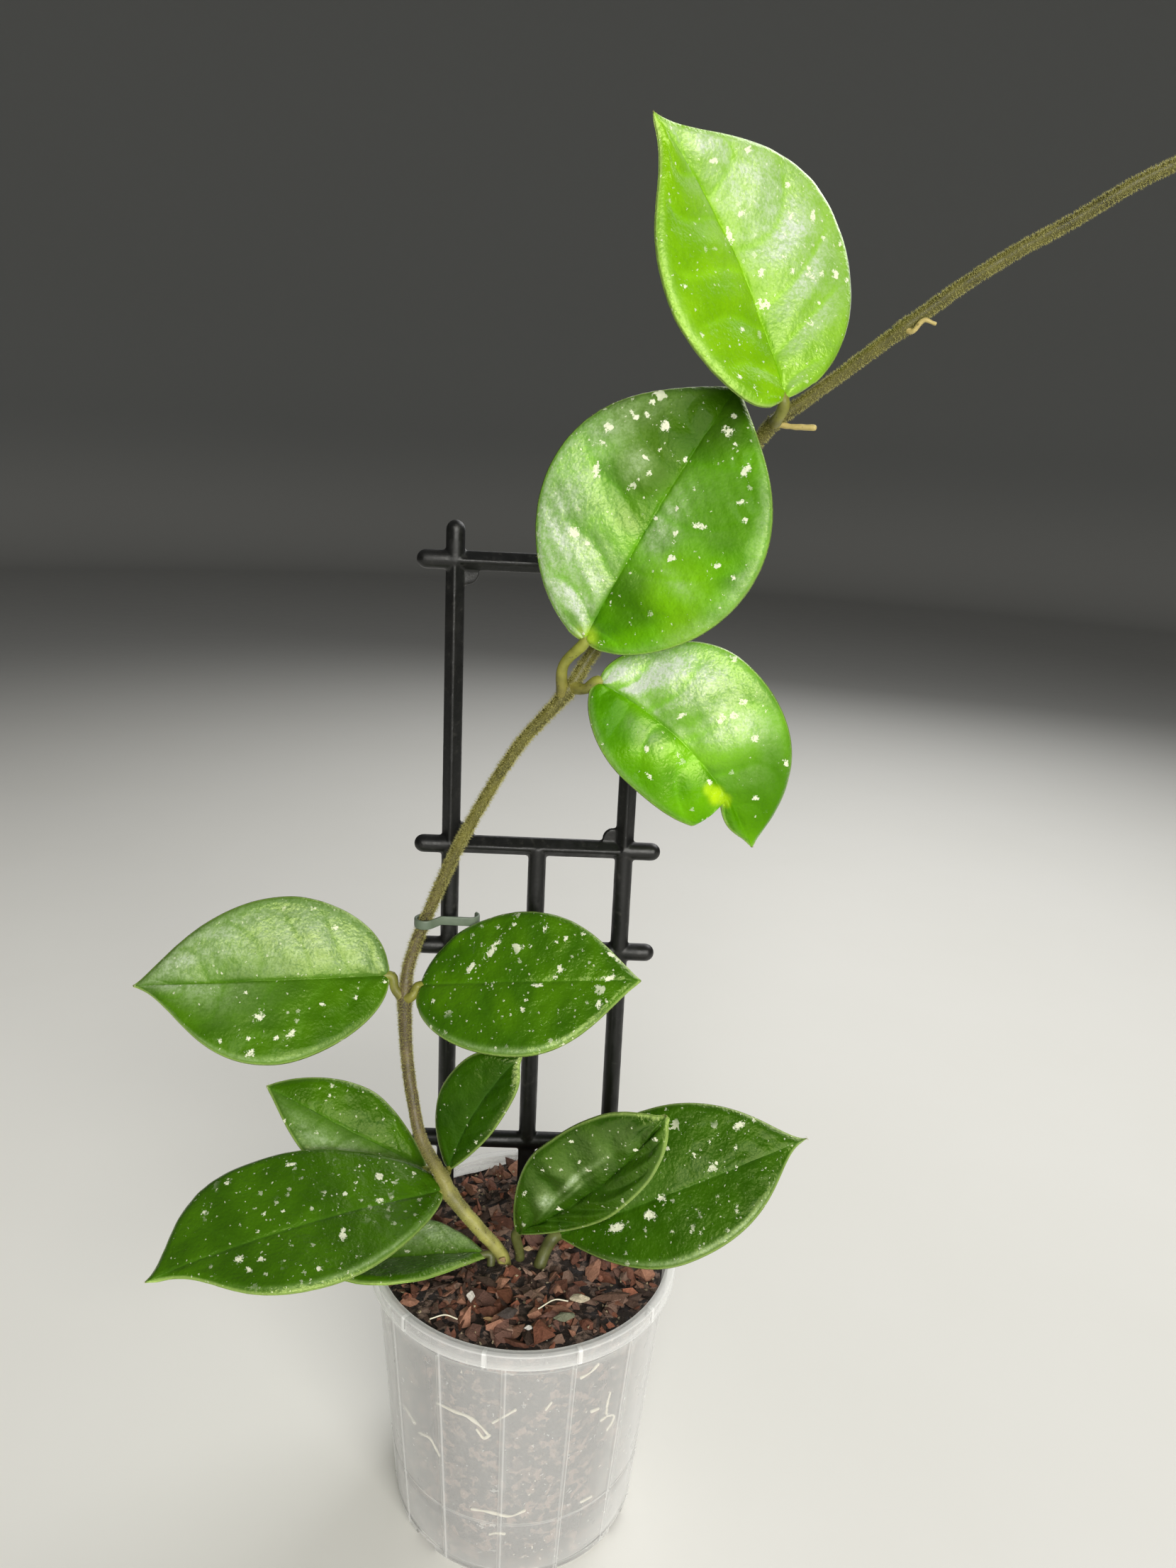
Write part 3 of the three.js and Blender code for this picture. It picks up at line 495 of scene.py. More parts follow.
def quads(grid, wrap=False, flip=False):
    """Faces between neighbouring points of a grid of indices."""
    after = np.roll(grid, -1, axis=1)
    columns = grid.shape[1] if wrap else grid.shape[1] - 1
    a, b = grid[:-1, :columns], after[:-1, :columns]
    c, d = after[1:, :columns], grid[1:, :columns]
    order = (d, c, b, a) if flip else (a, b, c, d)
    return np.stack(order, axis=-1).reshape(-1, 4).tolist()


def hairs(roots, normals, lengths, width, seed, lean):
    """Thin closed spikes, each with its foot just under the surface."""
    rng = np.random.default_rng(seed)
    n = len(roots)
    way = unit(normals + rng.normal(size=(n, 3)) * lean)
    side = unit(np.cross(way, rng.normal(size=(n, 3))))
    other = np.cross(way, side)
    feet = roots - way * HAIR_FOOT
    ring = [feet + side * width * math.cos(a) + other * width * math.sin(a) for a in HAIR_CORNERS]
    points = np.stack(ring + [roots + way * lengths[:, None]], axis=1).reshape(-1, 3)
    base = np.arange(n)[:, None, None] * 4
    faces = base + np.array([[0, 2, 1], [0, 1, 3], [1, 2, 3], [2, 0, 3]])[None]
    return points, faces.reshape(-1, 3).tolist()


# ---------------------------------------------------------------- leaves

# green, deep       the blade's two greens, which mix at random; how bright they are from leaf to leaf is partly the leaf's own colour and partly painted light and shade
# On a blade, u runs from base to tip and v out from the midrib, to the left above 0. s and t are the same
# ways as shares of the length and the width.
#   base, tip, face   the midrib's ends and the way the upper side looks
#   bend              how far the midrib sweeps aside, the fold's slope, how it flattens outwards, and the bow
#   left, right       the outline's halves, as half_outline takes them
#   notch             where along the blade a bite is, its reach before and after that, and its depth
#   stalk             where the stalk starts, a place on its way, and its radius
#   veil              painted sheen: side, s, t, spread along s, spread along t, share
#   patches           darker and lighter places, partly the leaf's own colour and partly painted shade and light: u, v, radius, colour
#   matt, domes       dull places and raised ones: u, v, radius, and the share or the height
#   spots             large cream flecks: u, v, half-length, half-width, turn
#   rib, vein         how much paler the midrib and the side veins are
#   quilt, flecks     how high the blade rises between its veins, and the share that small flecks cover
LEAVES = {
    "leaf_top": dict(
        base=(75.5, 18, 452), tip=(24.5, 17.5, 537), face=(0.44, -0.86, 0.26), bend=(-10.5, 0.3, 0.25, -6),
        left=(3.5, 20, 14, 41, 36, 31, 19, 7), right=(5, 27, 20, 41, 43, 40, 16, 7.5),
        stalk=((74.5, 32, 444.5), (75, 24, 446.5), 2), green=(0.22, 0.5, 0.003), deep=(0.17, 0.42, 0.002),
        painted_sheen=((-1, 0.5, 0.45, 0.45, 0.5, 0.6), (-1, 0.8, 0.4, 0.2, 0.6, 0.35),
            (1, 0.5, 0.97, 0.5, 0.07, 0.25), (1, 0.75, 0, 0.22, 0.35, 0.3)),
        rib=0.16, quilt=0.9, vein=0.2, matt=((50, 22, 42, 0.6),), domes=((36, -20, 14, 0.6),), flecks=0.16,
        spots=((55.7, -1.2, 2.7, 0.9, -0.3), (48.5, -31.8, 2.5, 0.9, -0.7), (40.3, -5.7, 1.6, 1.1, -0.4),
            (52.1, -24.3, 1.6, 0.9, -0.7), (78.3, -7.7, 1.2, 1, -2), (76.8, -20.6, 1.6, 0.9, -1.2),
            (30.5, -26.6, 1.2, 1, -1.9), (60.5, -7.9, 1.5, 0.9, -1.7), (47.1, 28.8, 1.2, 0.9, -2),
            (26.8, 12, 1.3, 0.8, -1.9))),
    "leaf_upper": dict(
        base=(11.5, 22, 364.5), tip=(60.5, 28, 456), face=(-0.21, -0.96, 0.18), bend=(0.5, 0.2, 0.25, 6),
        left=(5.5, 9.5, 30.5, 49, 41.5, 30, 13, 20), right=(4.5, 10, 31.5, 47.5, 43, 28.5, 14, 19),
        stalk=((4, 31, 341.5), (4, 27, 354), 2), green=(0.12, 0.39, 0.001), deep=(0.055, 0.22, 0.001),
        painted_sheen=((-1, 0.6, 0.45, 0.28, 0.35, 0.08), (1, 0.25, 0.97, 0.35, 0.06, 0.3),
            (1, 0.18, 0.55, 0.24, 0.6, 0.72), (1, 0.48, 0.78, 0.3, 0.25, 0.42),
            (-1, 0.4, 0.42, 0.025, 0.34, 0.2), (-1, 0.55, 0.95, 0.35, 0.1, 0.35),
            (-1, 0.49, 0.12, 0.13, 0.16, 0.42), (1, 0.58, 0.36, 0.06, 0.12, 0.35)),
        rib=0.03, quilt=0.8, vein=0.25, domes=((30, 20, 14, 0.9), (60, 14, 9, 0.8), (52, -12, 9, 0.5)),
        patches=((1, 0, 5, (0.4, 0.62, 0.03)), (92, 2, 20, (0.028, 0.085, 0.001)),
            (80, 24, 16, (0.035, 0.1, 0.001)), (64, 10, 13, (0.045, 0.13, 0.001)),
            (23, -9, 12, (0.045, 0.16, 0.001)), (34, -22, 13, (0.17, 0.46, 0.001)),
            (66, -20, 17, (0.07, 0.24, 0.001)), (48, 7, 7, (0.07, 0.22, 0.001)),
            (22, -32, 9, (0.17, 0.42, 0.006))),
        matt=((92, 4, 27, 1), (76, 24, 20, 1), (62, 10, 15, 0.9), (72, -20, 26, 1), (16, -14, 15, 0.9),
            (46, -24, 24, 0.9), (30, -25, 15, 0.95)),
        flecks=0.13,
        spots=((83.6, 21.7, 1.1, 1, -1), (76.2, 23.4, 1.1, 0.9, -1), (78.8, 20.5, 1.3, 0.9, 0.6),
            (78.9, 13.1, 2.1, 1.4, 0.6), (93.8, -5.4, 1.2, 0.8, -0.9), (88.2, -6.6, 2.1, 1.6, -1.7),
            (85.5, -11.7, 1, 0.8, -1.6), (62.7, 29, 1.4, 0.8, -1), (54, 25.6, 3.1, 1.2, 0.4),
            (66.1, 13.1, 1.2, 0.8, -1.7), (72.8, 1.2, 1.2, 0.8, 0.6), (80, -19.4, 2.6, 1.4, 0.2),
            (70, -24.4, 1.4, 0.9, -1), (65.7, -29.1, 1, 0.9, -1.1), (55.9, -16.7, 2.3, 1, -1.4),
            (31.6, 21.5, 1.8, 1.6, -1), (30.7, 15.4, 1.2, 1, -1), (47.6, -28.8, 1.4, 0.8, -1))),
    "leaf_notched": dict(
        base=(18, 25, 348.5), tip=(80, 19, 288.5), face=(0.02, -0.99, 0.12), bend=(8, 0.15, 0.3, 8),
        left=(8, 4.5, 28.5, 29.5, 37.5, 48.5, 5.5, 16), right=(6, 1.5, 22.5, 32.5, 25, 37, 19, 5),
        notch=(0.74, 0.035, 0.19, 0.78), stalk=((7, 31.5, 345), (13, 27, 345.5), 2),
        green=(0.17, 0.49, 0.001), deep=(0.085, 0.3, 0.001),
        painted_sheen=((1, 0.18, 0.5, 0.28, 0.6, 0.82), (1, 0.5, 0.5, 0.16, 0.45, 0.35),
            (-1, 0.35, 0.35, 0.1, 0.2, 0.25), (-1, 0.35, 0.97, 0.3, 0.07, 0.3)),
        rib=0.03, quilt=0.8, vein=0.2, domes=((24, 16, 11, 2), (46, 13, 11, 1.8), (34, -9, 9, 1.2)),
        patches=((60, -3, 3.4, (0.55, 0.85, 0.005)), (64, -1, 2.6, (0.5, 0.8, 0.005)),
            (56, -4, 2.4, (0.45, 0.75, 0.01)), (73, 14, 19, (0.06, 0.21, 0.001)),
            (8, -12, 14, (0.06, 0.24, 0.001)), (34, -26, 13, (0.075, 0.27, 0.001))),
        matt=((74, 14, 24, 1), (10, -14, 17, 1), (34, -26, 15, 0.9), (56, -14, 12, 0.9), (58, 34, 14, 0.8)),
        flecks=0.05,
        spots=((40, 26.5, 1.6, 1.3, 0.8), (39.2, 16.4, 1.6, 1.4, 1.6), (41.4, 20.3, 2, 1.2, 0.8),
            (28.7, 7.5, 1.7, 0.8, 1.4), (52.7, 21.2, 1.6, 1.3, 0.9), (29.1, -10.6, 1.6, 0.8, 2.2),
            (37.2, -17.4, 1.7, 0.8, -0.2), (54.1, -2.2, 1.2, 0.8, -0.1), (68, 25.6, 1.3, 0.9, 0),
            (70.6, 9.1, 1.3, 0.8, 0.9))),
    "leaf_left": dict(
        base=(-61, 27, 222), tip=(-160.5, 12.5, 218.5), face=(0.1, -0.81, 0.57), bend=(1, 0.2, 0.25, 6),
        left=(2, 17.5, 16, 43.5, 33, 32, 17.5, 5), right=(2, 19, 18, 40, 33.5, 30.5, 12.5, 9.5),
        stalk=((-54.5, 27, 212), (-58.5, 27, 216), 1.9), green=(0.062, 0.18, 0.002),
        deep=(0.04, 0.13, 0.0015),
        painted_sheen=((1, 0.5, 0.95, 0.4, 0.04, 0.3), (-1, 0.35, 0.5, 0.45, 0.6, 0.43),
            (-1, 0.8, 0.5, 0.2, 0.6, 0.36), (1, 0.8, 0.05, 0.26, 0.42, 0.42)),
        rib=0.06, quilt=0.5, vein=0.15, matt=((58, 16, 34, 0.8), (20, 20, 26, 0.8), (80, 14, 24, 0.8)),
        domes=((30, -14, 12, 0.7), (58, -13, 12, 0.6)), flecks=0.13,
        spots=((21, -19.8, 1.2, 0.9, 0), (49.5, 14.3, 2.3, 1.2, -2.4), (37.4, 21.4, 1.8, 1, -2.4),
            (52.2, 28.2, 2, 1.3, -2.7), (43, 23, 1.2, 0.9, 0), (25.7, 10.6, 1, 0.8, 0))),
    "leaf_centre": dict(
        base=(-48.5, 27, 218.5), tip=(41, 10, 234.5), face=(-0.25, -0.71, 0.66), bend=(-1.5, 0.12, 0.3, 6),
        left=(-1.5, 13, 24.5, 44, 29.5, 27, 10.5, 9), right=(6.5, 15, 25, 45, 29.5, 26.5, 11.5, 8),
        stalk=((-54.5, 27, 212), (-51, 25, 214.5), 1.9), green=(0.062, 0.185, 0.001),
        deep=(0.036, 0.125, 0.001), painted_sheen=((-1, 0.55, 0.94, 0.3, 0.04, 0.4),), rib=0.1, quilt=0.1, vein=0.05,
        matt=((45, 0, 100, 0.35),), flecks=0.22,
        spots=((32.6, 13.2, 4.9, 1.3, 1), (23.5, 6.2, 2.5, 1.2, 0.8), (54.1, 21.5, 1.9, 0.8, 1.1),
            (60.9, 4.8, 1.7, 1.1, 1.6), (80.1, 0.8, 2.5, 1, 0.2), (52.2, -1.7, 2, 0.8, 0.1),
            (76.9, -9.7, 1.5, 1.1, 1.3), (80.5, 10.7, 2, 0.8, -0.5), (47.1, -11.1, 1, 1, 0),
            (63.7, -25.1, 1.1, 0.8, 0))),
    "leaf_small_back": dict(
        base=(-42, 13, 141.5), tip=(-110, 18, 173.5), face=(0.27, -0.69, 0.67), bend=(1.5, 0.25, 0.25, 5),
        left=(0.5, 3, 13, 36, 18.5, 17, 8, 4), right=(0, 2, 13, 36.5, 18, 17, 5.5, 7),
        stalk=((-36, 1, 150.5), (-38, 6, 148), 1.5), green=(0.055, 0.16, 0.002), deep=(0.036, 0.115, 0.0015),
        painted_sheen=((1, 0.45, 0.6, 0.35, 0.4, 0.5),), rib=0.3, quilt=0.12, vein=0.05, matt=((35, 0, 90, 0.65),),
        flecks=0.12),
    "leaf_small_upright": dict(
        base=(-32.5, 3, 148.5), tip=(-4, 6.5, 202), face=(-0.29, -0.93, 0.21), bend=(3, 0.3, 0.25, 3),
        left=(0.5, 2.5, 13.5, 32, 17, 29, 9, 4), right=(0, 1, 12.5, 30.5, 10.5, 27, 10, 2.5),
        stalk=((-34, -1, 148), (-33, 1.5, 147.5), 1.5), green=(0.024, 0.082, 0.001),
        deep=(0.016, 0.06, 0.001), painted_sheen=(), rib=0.3, quilt=0.08, vein=0.08, matt=((30, 0, 90, 0.75),),
        flecks=0.09),
    "leaf_low_left": dict(
        base=(-33, -4, 144), tip=(-135, -53, 134.5), face=(0.01, -0.35, 0.94), bend=(3, 0.12, 0.3, 10),
        left=(0, 6, 25.5, 51, 27, 37, 24, 2), right=(5.5, 12, 26, 62.5, 34, 40, 14.5, 11.5),
        stalk=((-30.5, -4, 143), (-32, -4.5, 143), 2), green=(0.052, 0.155, 0.002),
        deep=(0.036, 0.115, 0.0015), painted_sheen=((1, 0.35, 0.94, 0.3, 0.04, 0.35),), rib=0.18, quilt=0.14,
        vein=0.05, matt=((55, 0, 130, 0.4),), flecks=0.26,
        spots=((43.8, 9.2, 2.9, 1, -1.8), (55.4, -26.2, 1.5, 0.9, 2.8), (26.9, -1.6, 1.5, 1, 2.9),
            (80.8, 6.1, 1.7, 1.2, -2.9), (78.2, 11.2, 1.3, 1, 2.7), (88.8, -17.3, 1.2, 0.9, 2.8),
            (79.1, -27, 1.4, 0.9, -2.6), (73.3, 9, 1.2, 0.9, 2.7), (55.2, 20.5, 1.1, 0.8, 2.8))),
    "leaf_under": dict(
        base=(-14, -10, 120.5), tip=(-84, -25.5, 122), face=(-0.03, 0.1, 0.99), bend=(0.5, 0.28, 0.2, 1),
        left=(-4, 3, 22, 41, 20, 12, 6, 7), right=(-3, 3, 20, 34, 24, 22, 10, 7),
        stalk=((-12.5, -13, 100), (-12.6, -12, 115), 1.6), green=(0.06, 0.17, 0.003),
        deep=(0.04, 0.125, 0.002), painted_sheen=((-1, 0.5, 0.6, 0.4, 0.4, 0.5),), rib=0.25, quilt=0.1, vein=0.05,
        flecks=0.1, spots=((31.9, -2.5, 1.1, 0.8, 3),)),
    "leaf_cupped": dict(
        base=(-3, -7, 128), tip=(51.5, -26, 198), face=(-0.44, -0.89, 0.1), bend=(-5.5, 0.45, 0.1, -4),
        left=(1, 1.5, 17, 37, 25.5, 45.5, 6.5, 0), right=(1.5, 0.5, 14.5, 44.5, 11, 45, 6, 1.5),
        stalk=((-1.5, -4, 96), (-1.5, -5, 117), 1.9), green=(0.034, 0.105, 0.002),
        deep=(0.018, 0.068, 0.001),
        painted_sheen=((1, 0.44, 0.34, 0.15, 0.045, 0.5), (1, 0.3, 0.46, 0.04, 0.14, 0.4),
            (1, 0.4, 0.22, 0.12, 0.03, 0.25), (1, 0.55, 0.5, 0.3, 0.3, 0.08)),
        rib=0.14, quilt=1.3, vein=0.14, matt=((45, 0, 110, 0.1),), flecks=0.14,
        spots=((23.4, 1.8, 1.5, 0.9, -0.7),)),
    "leaf_low_right": dict(
        base=(12.5, -3, 124.5), tip=(111, 1.5, 174), face=(-0.26, -0.77, 0.58), bend=(-1.5, 0.12, 0.3, 8),
        left=(-1, 1.5, 26.5, 47, 34, 42.5, 11, 3.5), right=(-2, 0.5, 26.5, 49.5, 26, 43.5, 15, 0),
        stalk=((6, -9.5, 96), (7.5, -8.5, 117), 2.5), green=(0.036, 0.115, 0.002),
        deep=(0.026, 0.09, 0.0015), painted_sheen=((-1, 0.6, 0.93, 0.3, 0.045, 0.45), (1, 0.3, 0.2, 0.16, 0.25, 0.1)),
        rib=0.16, quilt=0.15, vein=0.06, domes=((40, 8, 20, 0.6),), matt=((55, 0, 130, 0.65),), flecks=0.22,
        spots=((41.5, -4.7, 2.1, 1.6, -0.3), (27.2, -4.9, 2.7, 1.7, 0), (48.1, -0.3, 1.8, 1.5, -0.3),
            (87.3, 14.4, 2.4, 1.3, 0.3), (73.3, 4.6, 0.9, 0.8, -0.4))),
}
BLADE_ROWS = 120
ROW_ENDS = (0.004, 0.996)
NOTCH_ROWS = 30
BLADE_COLUMNS = 40  # in each half
BLADE_THICKNESS = 1.7
EDGE_RADIUS = 0.5
EDGE_TURNS = (0.85, 0.0, -0.85)  # the angles of the rim's rows, from the upper side to the lower one
SIDE_VEINS = 5
VEIN_SWEEP = 0.2
# The rim's paler green: partly the leaf's own, partly a painted highlight along every edge.
RIM_GREEN_AND_HIGHLIGHT = (0.36, 0.52, 0.14)
UNDER_GREEN = (0.13, 0.24, 0.03)
# How much brighter the painted sheen gets where the relief leans towards the sky, and the way to that sky.
SHEEN_GAIN = 3.0
SKY_WAY = (0, -0.3, 0.95)
EDGE_HAIRS = 4  # in each mm of rim
EDGE_HAIR_LENGTHS = (0.4, 1.0)
STALK_ENDS = ((-1, 0.6), (5, 0.75), (11, 0.8))  # u, and how many radii the stalk lies under the blade there
STALK_RADII = (1.3, 1.0, 1.08, 0.72, 0.3)  # at its knots, as shares of the given radius
STALK_TINTS = ((0.2, 0.17, 0.035), (0.24, 0.29, 0.035))  # at the foot and at the blade
# The same change from foot to blade, much darker: painted shade for stalks that start low among the mix and
# the lower leaves.
LOW_STALK_PAINTED_SHADE = ((0.06, 0.06, 0.02), (0.13, 0.15, 0.035))
LOW_START = 120  # a stalk that starts lower has the low tints


def bezier(points, t):
    a, b, c, d = (vec(*p) for p in points)
    t = t[:, None]
    return (1 - t) ** 3 * a + 3 * (1 - t) ** 2 * t * b + 3 * (1 - t) * t ** 2 * c + t ** 3 * d


def half_outline(half, length, s):
    """Half of a blade's outline: u from base to tip and v out from the midrib."""
    back, out, lead, widest, width, trail, taper, swell = half
    shoulder = [(0, 0), (-back, out), (widest - lead, width), (widest, width)]
    point = [(widest, width), (widest + trail, width), (length - taper, swell), (length, 0)]
    return np.where(s[:, None] < 0.5, bezier(shoulder, 2 * s), bezier(point, 2 * s - 1))


def notch_share(notch, s):
    if not notch:
        return np.ones_like(s)
    at, near, far, depth = notch
    before = s < at
    off = np.minimum(1, np.where(before, (at - s) / near, (s - at) / far))
    return 1 - depth * (1 - np.where(before, np.sqrt(off * (2 - off)), off))


def step_up(value, low, high):
    t = np.clip((value - low) / (high - low), 0, 1)
    return t * t * (3 - 2 * t)


def blend(first, second, share):
    return np.asarray(first) * (1 - share) + np.asarray(second) * share


class Blade:
    """The middle surface of a blade, as a grid of rows from base to tip and columns from right to left."""

    def __init__(self, name):
        leaf = LEAVES[name]
        self.leaf = leaf
        self.base = vec(*leaf["base"])
        along = vec(*leaf["tip"]) - self.base
        self.length = np.linalg.norm(along)
        self.ahead = unit(along)
        face = vec(*leaf["face"])
        self.face = unit(face - self.ahead * np.dot(face, self.ahead))
        self.across = np.cross(self.face, self.ahead)
        self.sweep, self.fold, self.dome, self.bow = leaf["bend"]
        rows = np.linspace(*ROW_ENDS, BLADE_ROWS + 1)
        if "notch" in leaf:
            at, near, far, _ = leaf["notch"]
            rows = np.sort(np.concatenate([rows, at + np.linspace(-1.1 * near, 0.5 * far, NOTCH_ROWS)]))
        k = np.linspace(0, 1, BLADE_COLUMNS + 1)
        half = 0.5 * k + 0.25 * (1 - np.cos(np.pi * k))
        signed = np.concatenate([-half[:0:-1], half])
        self.s, self.t = np.meshgrid(rows, signed, indexing="ij")
        share = notch_share(leaf.get("notch"), rows)
        right, left = (half_outline(leaf[key], self.length, rows) for key in ("right", "left"))
        right[:, 0] = rows * self.length + (right[:, 0] - rows * self.length) * share
        right[:, 1] *= share
        edge = np.where(self.t[..., None] < 0, right[:, None], left[:, None])
        reach = np.abs(self.t)
        self.u = self.s * self.length * (1 - reach) + edge[..., 0] * reach
        self.v = edge[..., 1] * reach
        self.signed_v = self.v * np.sign(self.t)
        self.plane = np.stack([self.u, self.signed_v], axis=-1)
        self.inset = (1 - reach) * np.hypot(edge[..., 0] - self.s * self.length, edge[..., 1])
        self.middle = self.at(self.u, self.v, np.sign(self.t))
        along, across = np.gradient(self.middle, axis=0), np.gradient(self.middle, axis=1)
        self.normal = unit(np.cross(along, across))

    def height(self, u, v):
        width = (self.leaf["left"][4] + self.leaf["right"][4]) / 2
        x = np.clip(u / self.length, 0, 1)
        return self.fold * v * (1 - 2 * self.dome * v / width) + 4 * self.bow * x * (1 - x)

    def at(self, u, v, side):
        x = np.clip(u / self.length, 0, 1)
        aside = side * v + 4 * self.sweep * x * (1 - x)
        return (self.base + u[..., None] * self.ahead + aside[..., None] * self.across
                + self.height(u, v)[..., None] * self.face)

    def near(self, u, v, radius):
        """1 round a place on the blade, and 0 farther off than about a radius."""
        return np.exp(-(np.hypot(self.u - u, self.signed_v - v) / radius) ** 4)

    def veins(self):
        """How much each point is on a side vein, and how far it is between two of them, from 0 to 1."""
        reach = np.abs(self.t)
        along = (self.s - VEIN_SWEEP * reach ** 1.3) * (SIDE_VEINS + 1)
        along = along + 0.4 * (self.t > 0) + 0.16 * np.sin(5 * self.t + 7 * self.s)
        off = np.abs(along - np.round(along))
        spacing = self.length / (SIDE_VEINS + 1)
        fade = step_up(reach, 0.0, 0.05) * (1 - step_up(reach, 0.72, 0.95))
        fade *= step_up(self.s, 0.03, 0.1) * (1 - step_up(self.s, 0.82, 0.95))
        return np.exp(-(off * spacing) ** 2) * fade, np.sin(np.pi * np.clip(off, 0, 0.5)) ** 2

    def relief(self, seed):
        """How far the upper side rises over the smooth blade: domes between the veins, grooves and waves."""
        vein, between = self.veins()
        reach = np.abs(self.t)
        rise = self.leaf["quilt"] * between * np.sin(np.pi * reach ** 0.8) * step_up(1 - self.s, 0.03, 0.2)
        rise -= (0.05 + 0.7 * self.leaf["vein"]) * vein
        rise -= 0.4 * np.exp(-(self.v / 0.9) ** 2) * (1 - 0.5 * self.s)
        for *place, height in self.leaf.get("domes", ()):
            rise += height * self.near(*place)
        rise += 0.3 * waves(seed, self.plane, (18, 50))
        rise += 0.1 * waves(seed + 50, self.plane, (5, 11))
        return rise - 1.5 * (1 - np.clip(self.inset / 3.4, 0, 1)) ** 2


def blade_tint(blade, seed, upper):
    leaf = blade.leaf
    cloud = step_up(waves(seed + 9, blade.plane, (9, 40)), -1.2, 1.2)[..., None]
    tint = blend(leaf["deep"], leaf["green"], cloud)
    if not upper:
        tint = blend(tint, UNDER_GREEN, 0.65)
    vein, _ = blade.veins()
    paler = np.minimum(tint.mean(axis=(0, 1)) * 1.9 + 0.02, 1)
    layers = [(leaf["vein"] * vein, paler)]
    # The patches: partly the leaf's own colour, partly painted shade and painted light.
    layers += [(0.9 * blade.near(*place), colour) for *place, colour in leaf.get("patches", ())]
    layers.append((leaf["rib"] * np.exp(-(blade.v / 0.8) ** 2), paler))
    # A paler rim: partly the leaf's own colour, partly a painted highlight.
    layers.append((0.6 * (1 - step_up(blade.inset, 0.2, 1.1)), RIM_GREEN_AND_HIGHLIGHT))
    for share, colour in layers:
        tint = blend(tint, colour, share[..., None])
    return tint


def painted_sheen_field(blade, over):
    """How much painted sheen, a painted reflection of the sky, lies on each point, from 0 to 1: more where
    the relief leans up to it.
    """
    field = np.zeros_like(blade.u)
    vein, _ = blade.veins()
    for side, s, t, s_spread, t_spread, share in blade.leaf["painted_sheen"]:
        near = np.exp(-((blade.s - s) / s_spread) ** 2 - ((np.abs(blade.t) - t) / t_spread) ** 2)
        field = 1 - (1 - field) * (1 - share * near * step_up(blade.t * side, 0.0, 0.05) * (1 - 0.5 * vein))
    along, across = np.gradient(over, axis=0), np.gradient(over, axis=1)
    lean = (unit(np.cross(along, across)) - blade.normal) @ vec(*SKY_WAY) * step_up(blade.inset, 1.5, 4.5)
    return field * np.clip(1 + SHEEN_GAIN * lean, 0.3, 1.6) * step_up(blade.inset, 0.4, 1.6)


def matt_field(blade):
    """How dull each point is, from 0 to 1."""
    field = np.zeros_like(blade.u)
    for *place, share in blade.leaf.get("matt", ()):
        field = np.maximum(field, share * blade.near(*place))
    return field * step_up(blade.inset, 0.8, 3.2)


def spot_field(blade):
    """Distance to the nearest large cream fleck, in its own radii, less one."""
    field = np.ones_like(blade.u)
    for u, v, long, wide, turn in blade.leaf.get("spots", ()):
        c, s = math.cos(turn), math.sin(turn)
        u, v = blade.u - u, blade.signed_v - v
        field = np.minimum(field, np.hypot((u * c + v * s) / long, (v * c - u * s) / wide) - 1)
    return np.clip(field, -1, 1.5)


def make_blade(name, seed, material):
    """The blade's two sides and its rolled rim. Returns the blade, the rim's line and the ways out of it."""
    blade = Blade(name)
    near_end = step_up(np.minimum(blade.s, 1 - blade.s) * blade.length, -1.0, 4.0)
    thick = (BLADE_THICKNESS / 2) * (1 - 0.4 * blade.t ** 2) * near_end
    midrib = 0.5 * np.exp(-(blade.v / 1.4) ** 2) * near_end
    relief = blade.relief(seed) * near_end
    over = blade.middle + blade.normal * (thick + relief)[..., None]
    under = blade.middle - blade.normal * (thick + midrib - 0.7 * relief)[..., None]
    count = blade.t.size
    grid = np.arange(count).reshape(blade.t.shape)
    loop = np.concatenate([grid[0, :-1], grid[:-1, -1], grid[-1, :0:-1], grid[:0:-1, 0]])
    flat = lambda field: field.reshape(count, -1)
    top, bottom, normal, short = (flat(field)[loop] for field in (over, under, blade.normal, near_end))
    middle = (top + bottom) / 2
    out = unit(np.cross(unit(np.roll(middle, -1, axis=0) - np.roll(middle, 1, axis=0)), normal))
    half = np.linalg.norm(top - bottom, axis=1, keepdims=True) / 2
    rim = [middle + out * EDGE_RADIUS * short * math.cos(a) + normal * half * math.sin(a) for a in EDGE_TURNS]
    points = np.concatenate([flat(over), flat(under), *rim])
    rim_rows = np.arange(2 * count, len(points)).reshape(len(rim), len(loop))
    bands = np.stack([loop, *rim_rows, loop + count])
    faces = quads(grid, flip=True) + quads(grid + count) + quads(bands, wrap=True)
    tints = [flat(blade_tint(blade, seed, upper)) for upper in (True, False)]
    # The rim's rows carry the paler rim green with its painted highlight.
    layers = {"tint": np.concatenate([*tints, np.tile(vec(*RIM_GREEN_AND_HIGHLIGHT), (rim_rows.size, 1))])}
    fields = {"upper": (np.ones_like(blade.u), 0), "spot": (spot_field(blade), 1),
              "matt": (matt_field(blade), 0), "painted_sheen": (painted_sheen_field(blade, over), 0)}
    for layer, (field, elsewhere) in fields.items():
        layers[layer] = np.concatenate([field.ravel(), np.full(len(points) - count, float(elsewhere))])
    piece(name + "_blade", points, faces, material, "leaf", layers, stands_for=(name,))
    return blade, rim[1], out


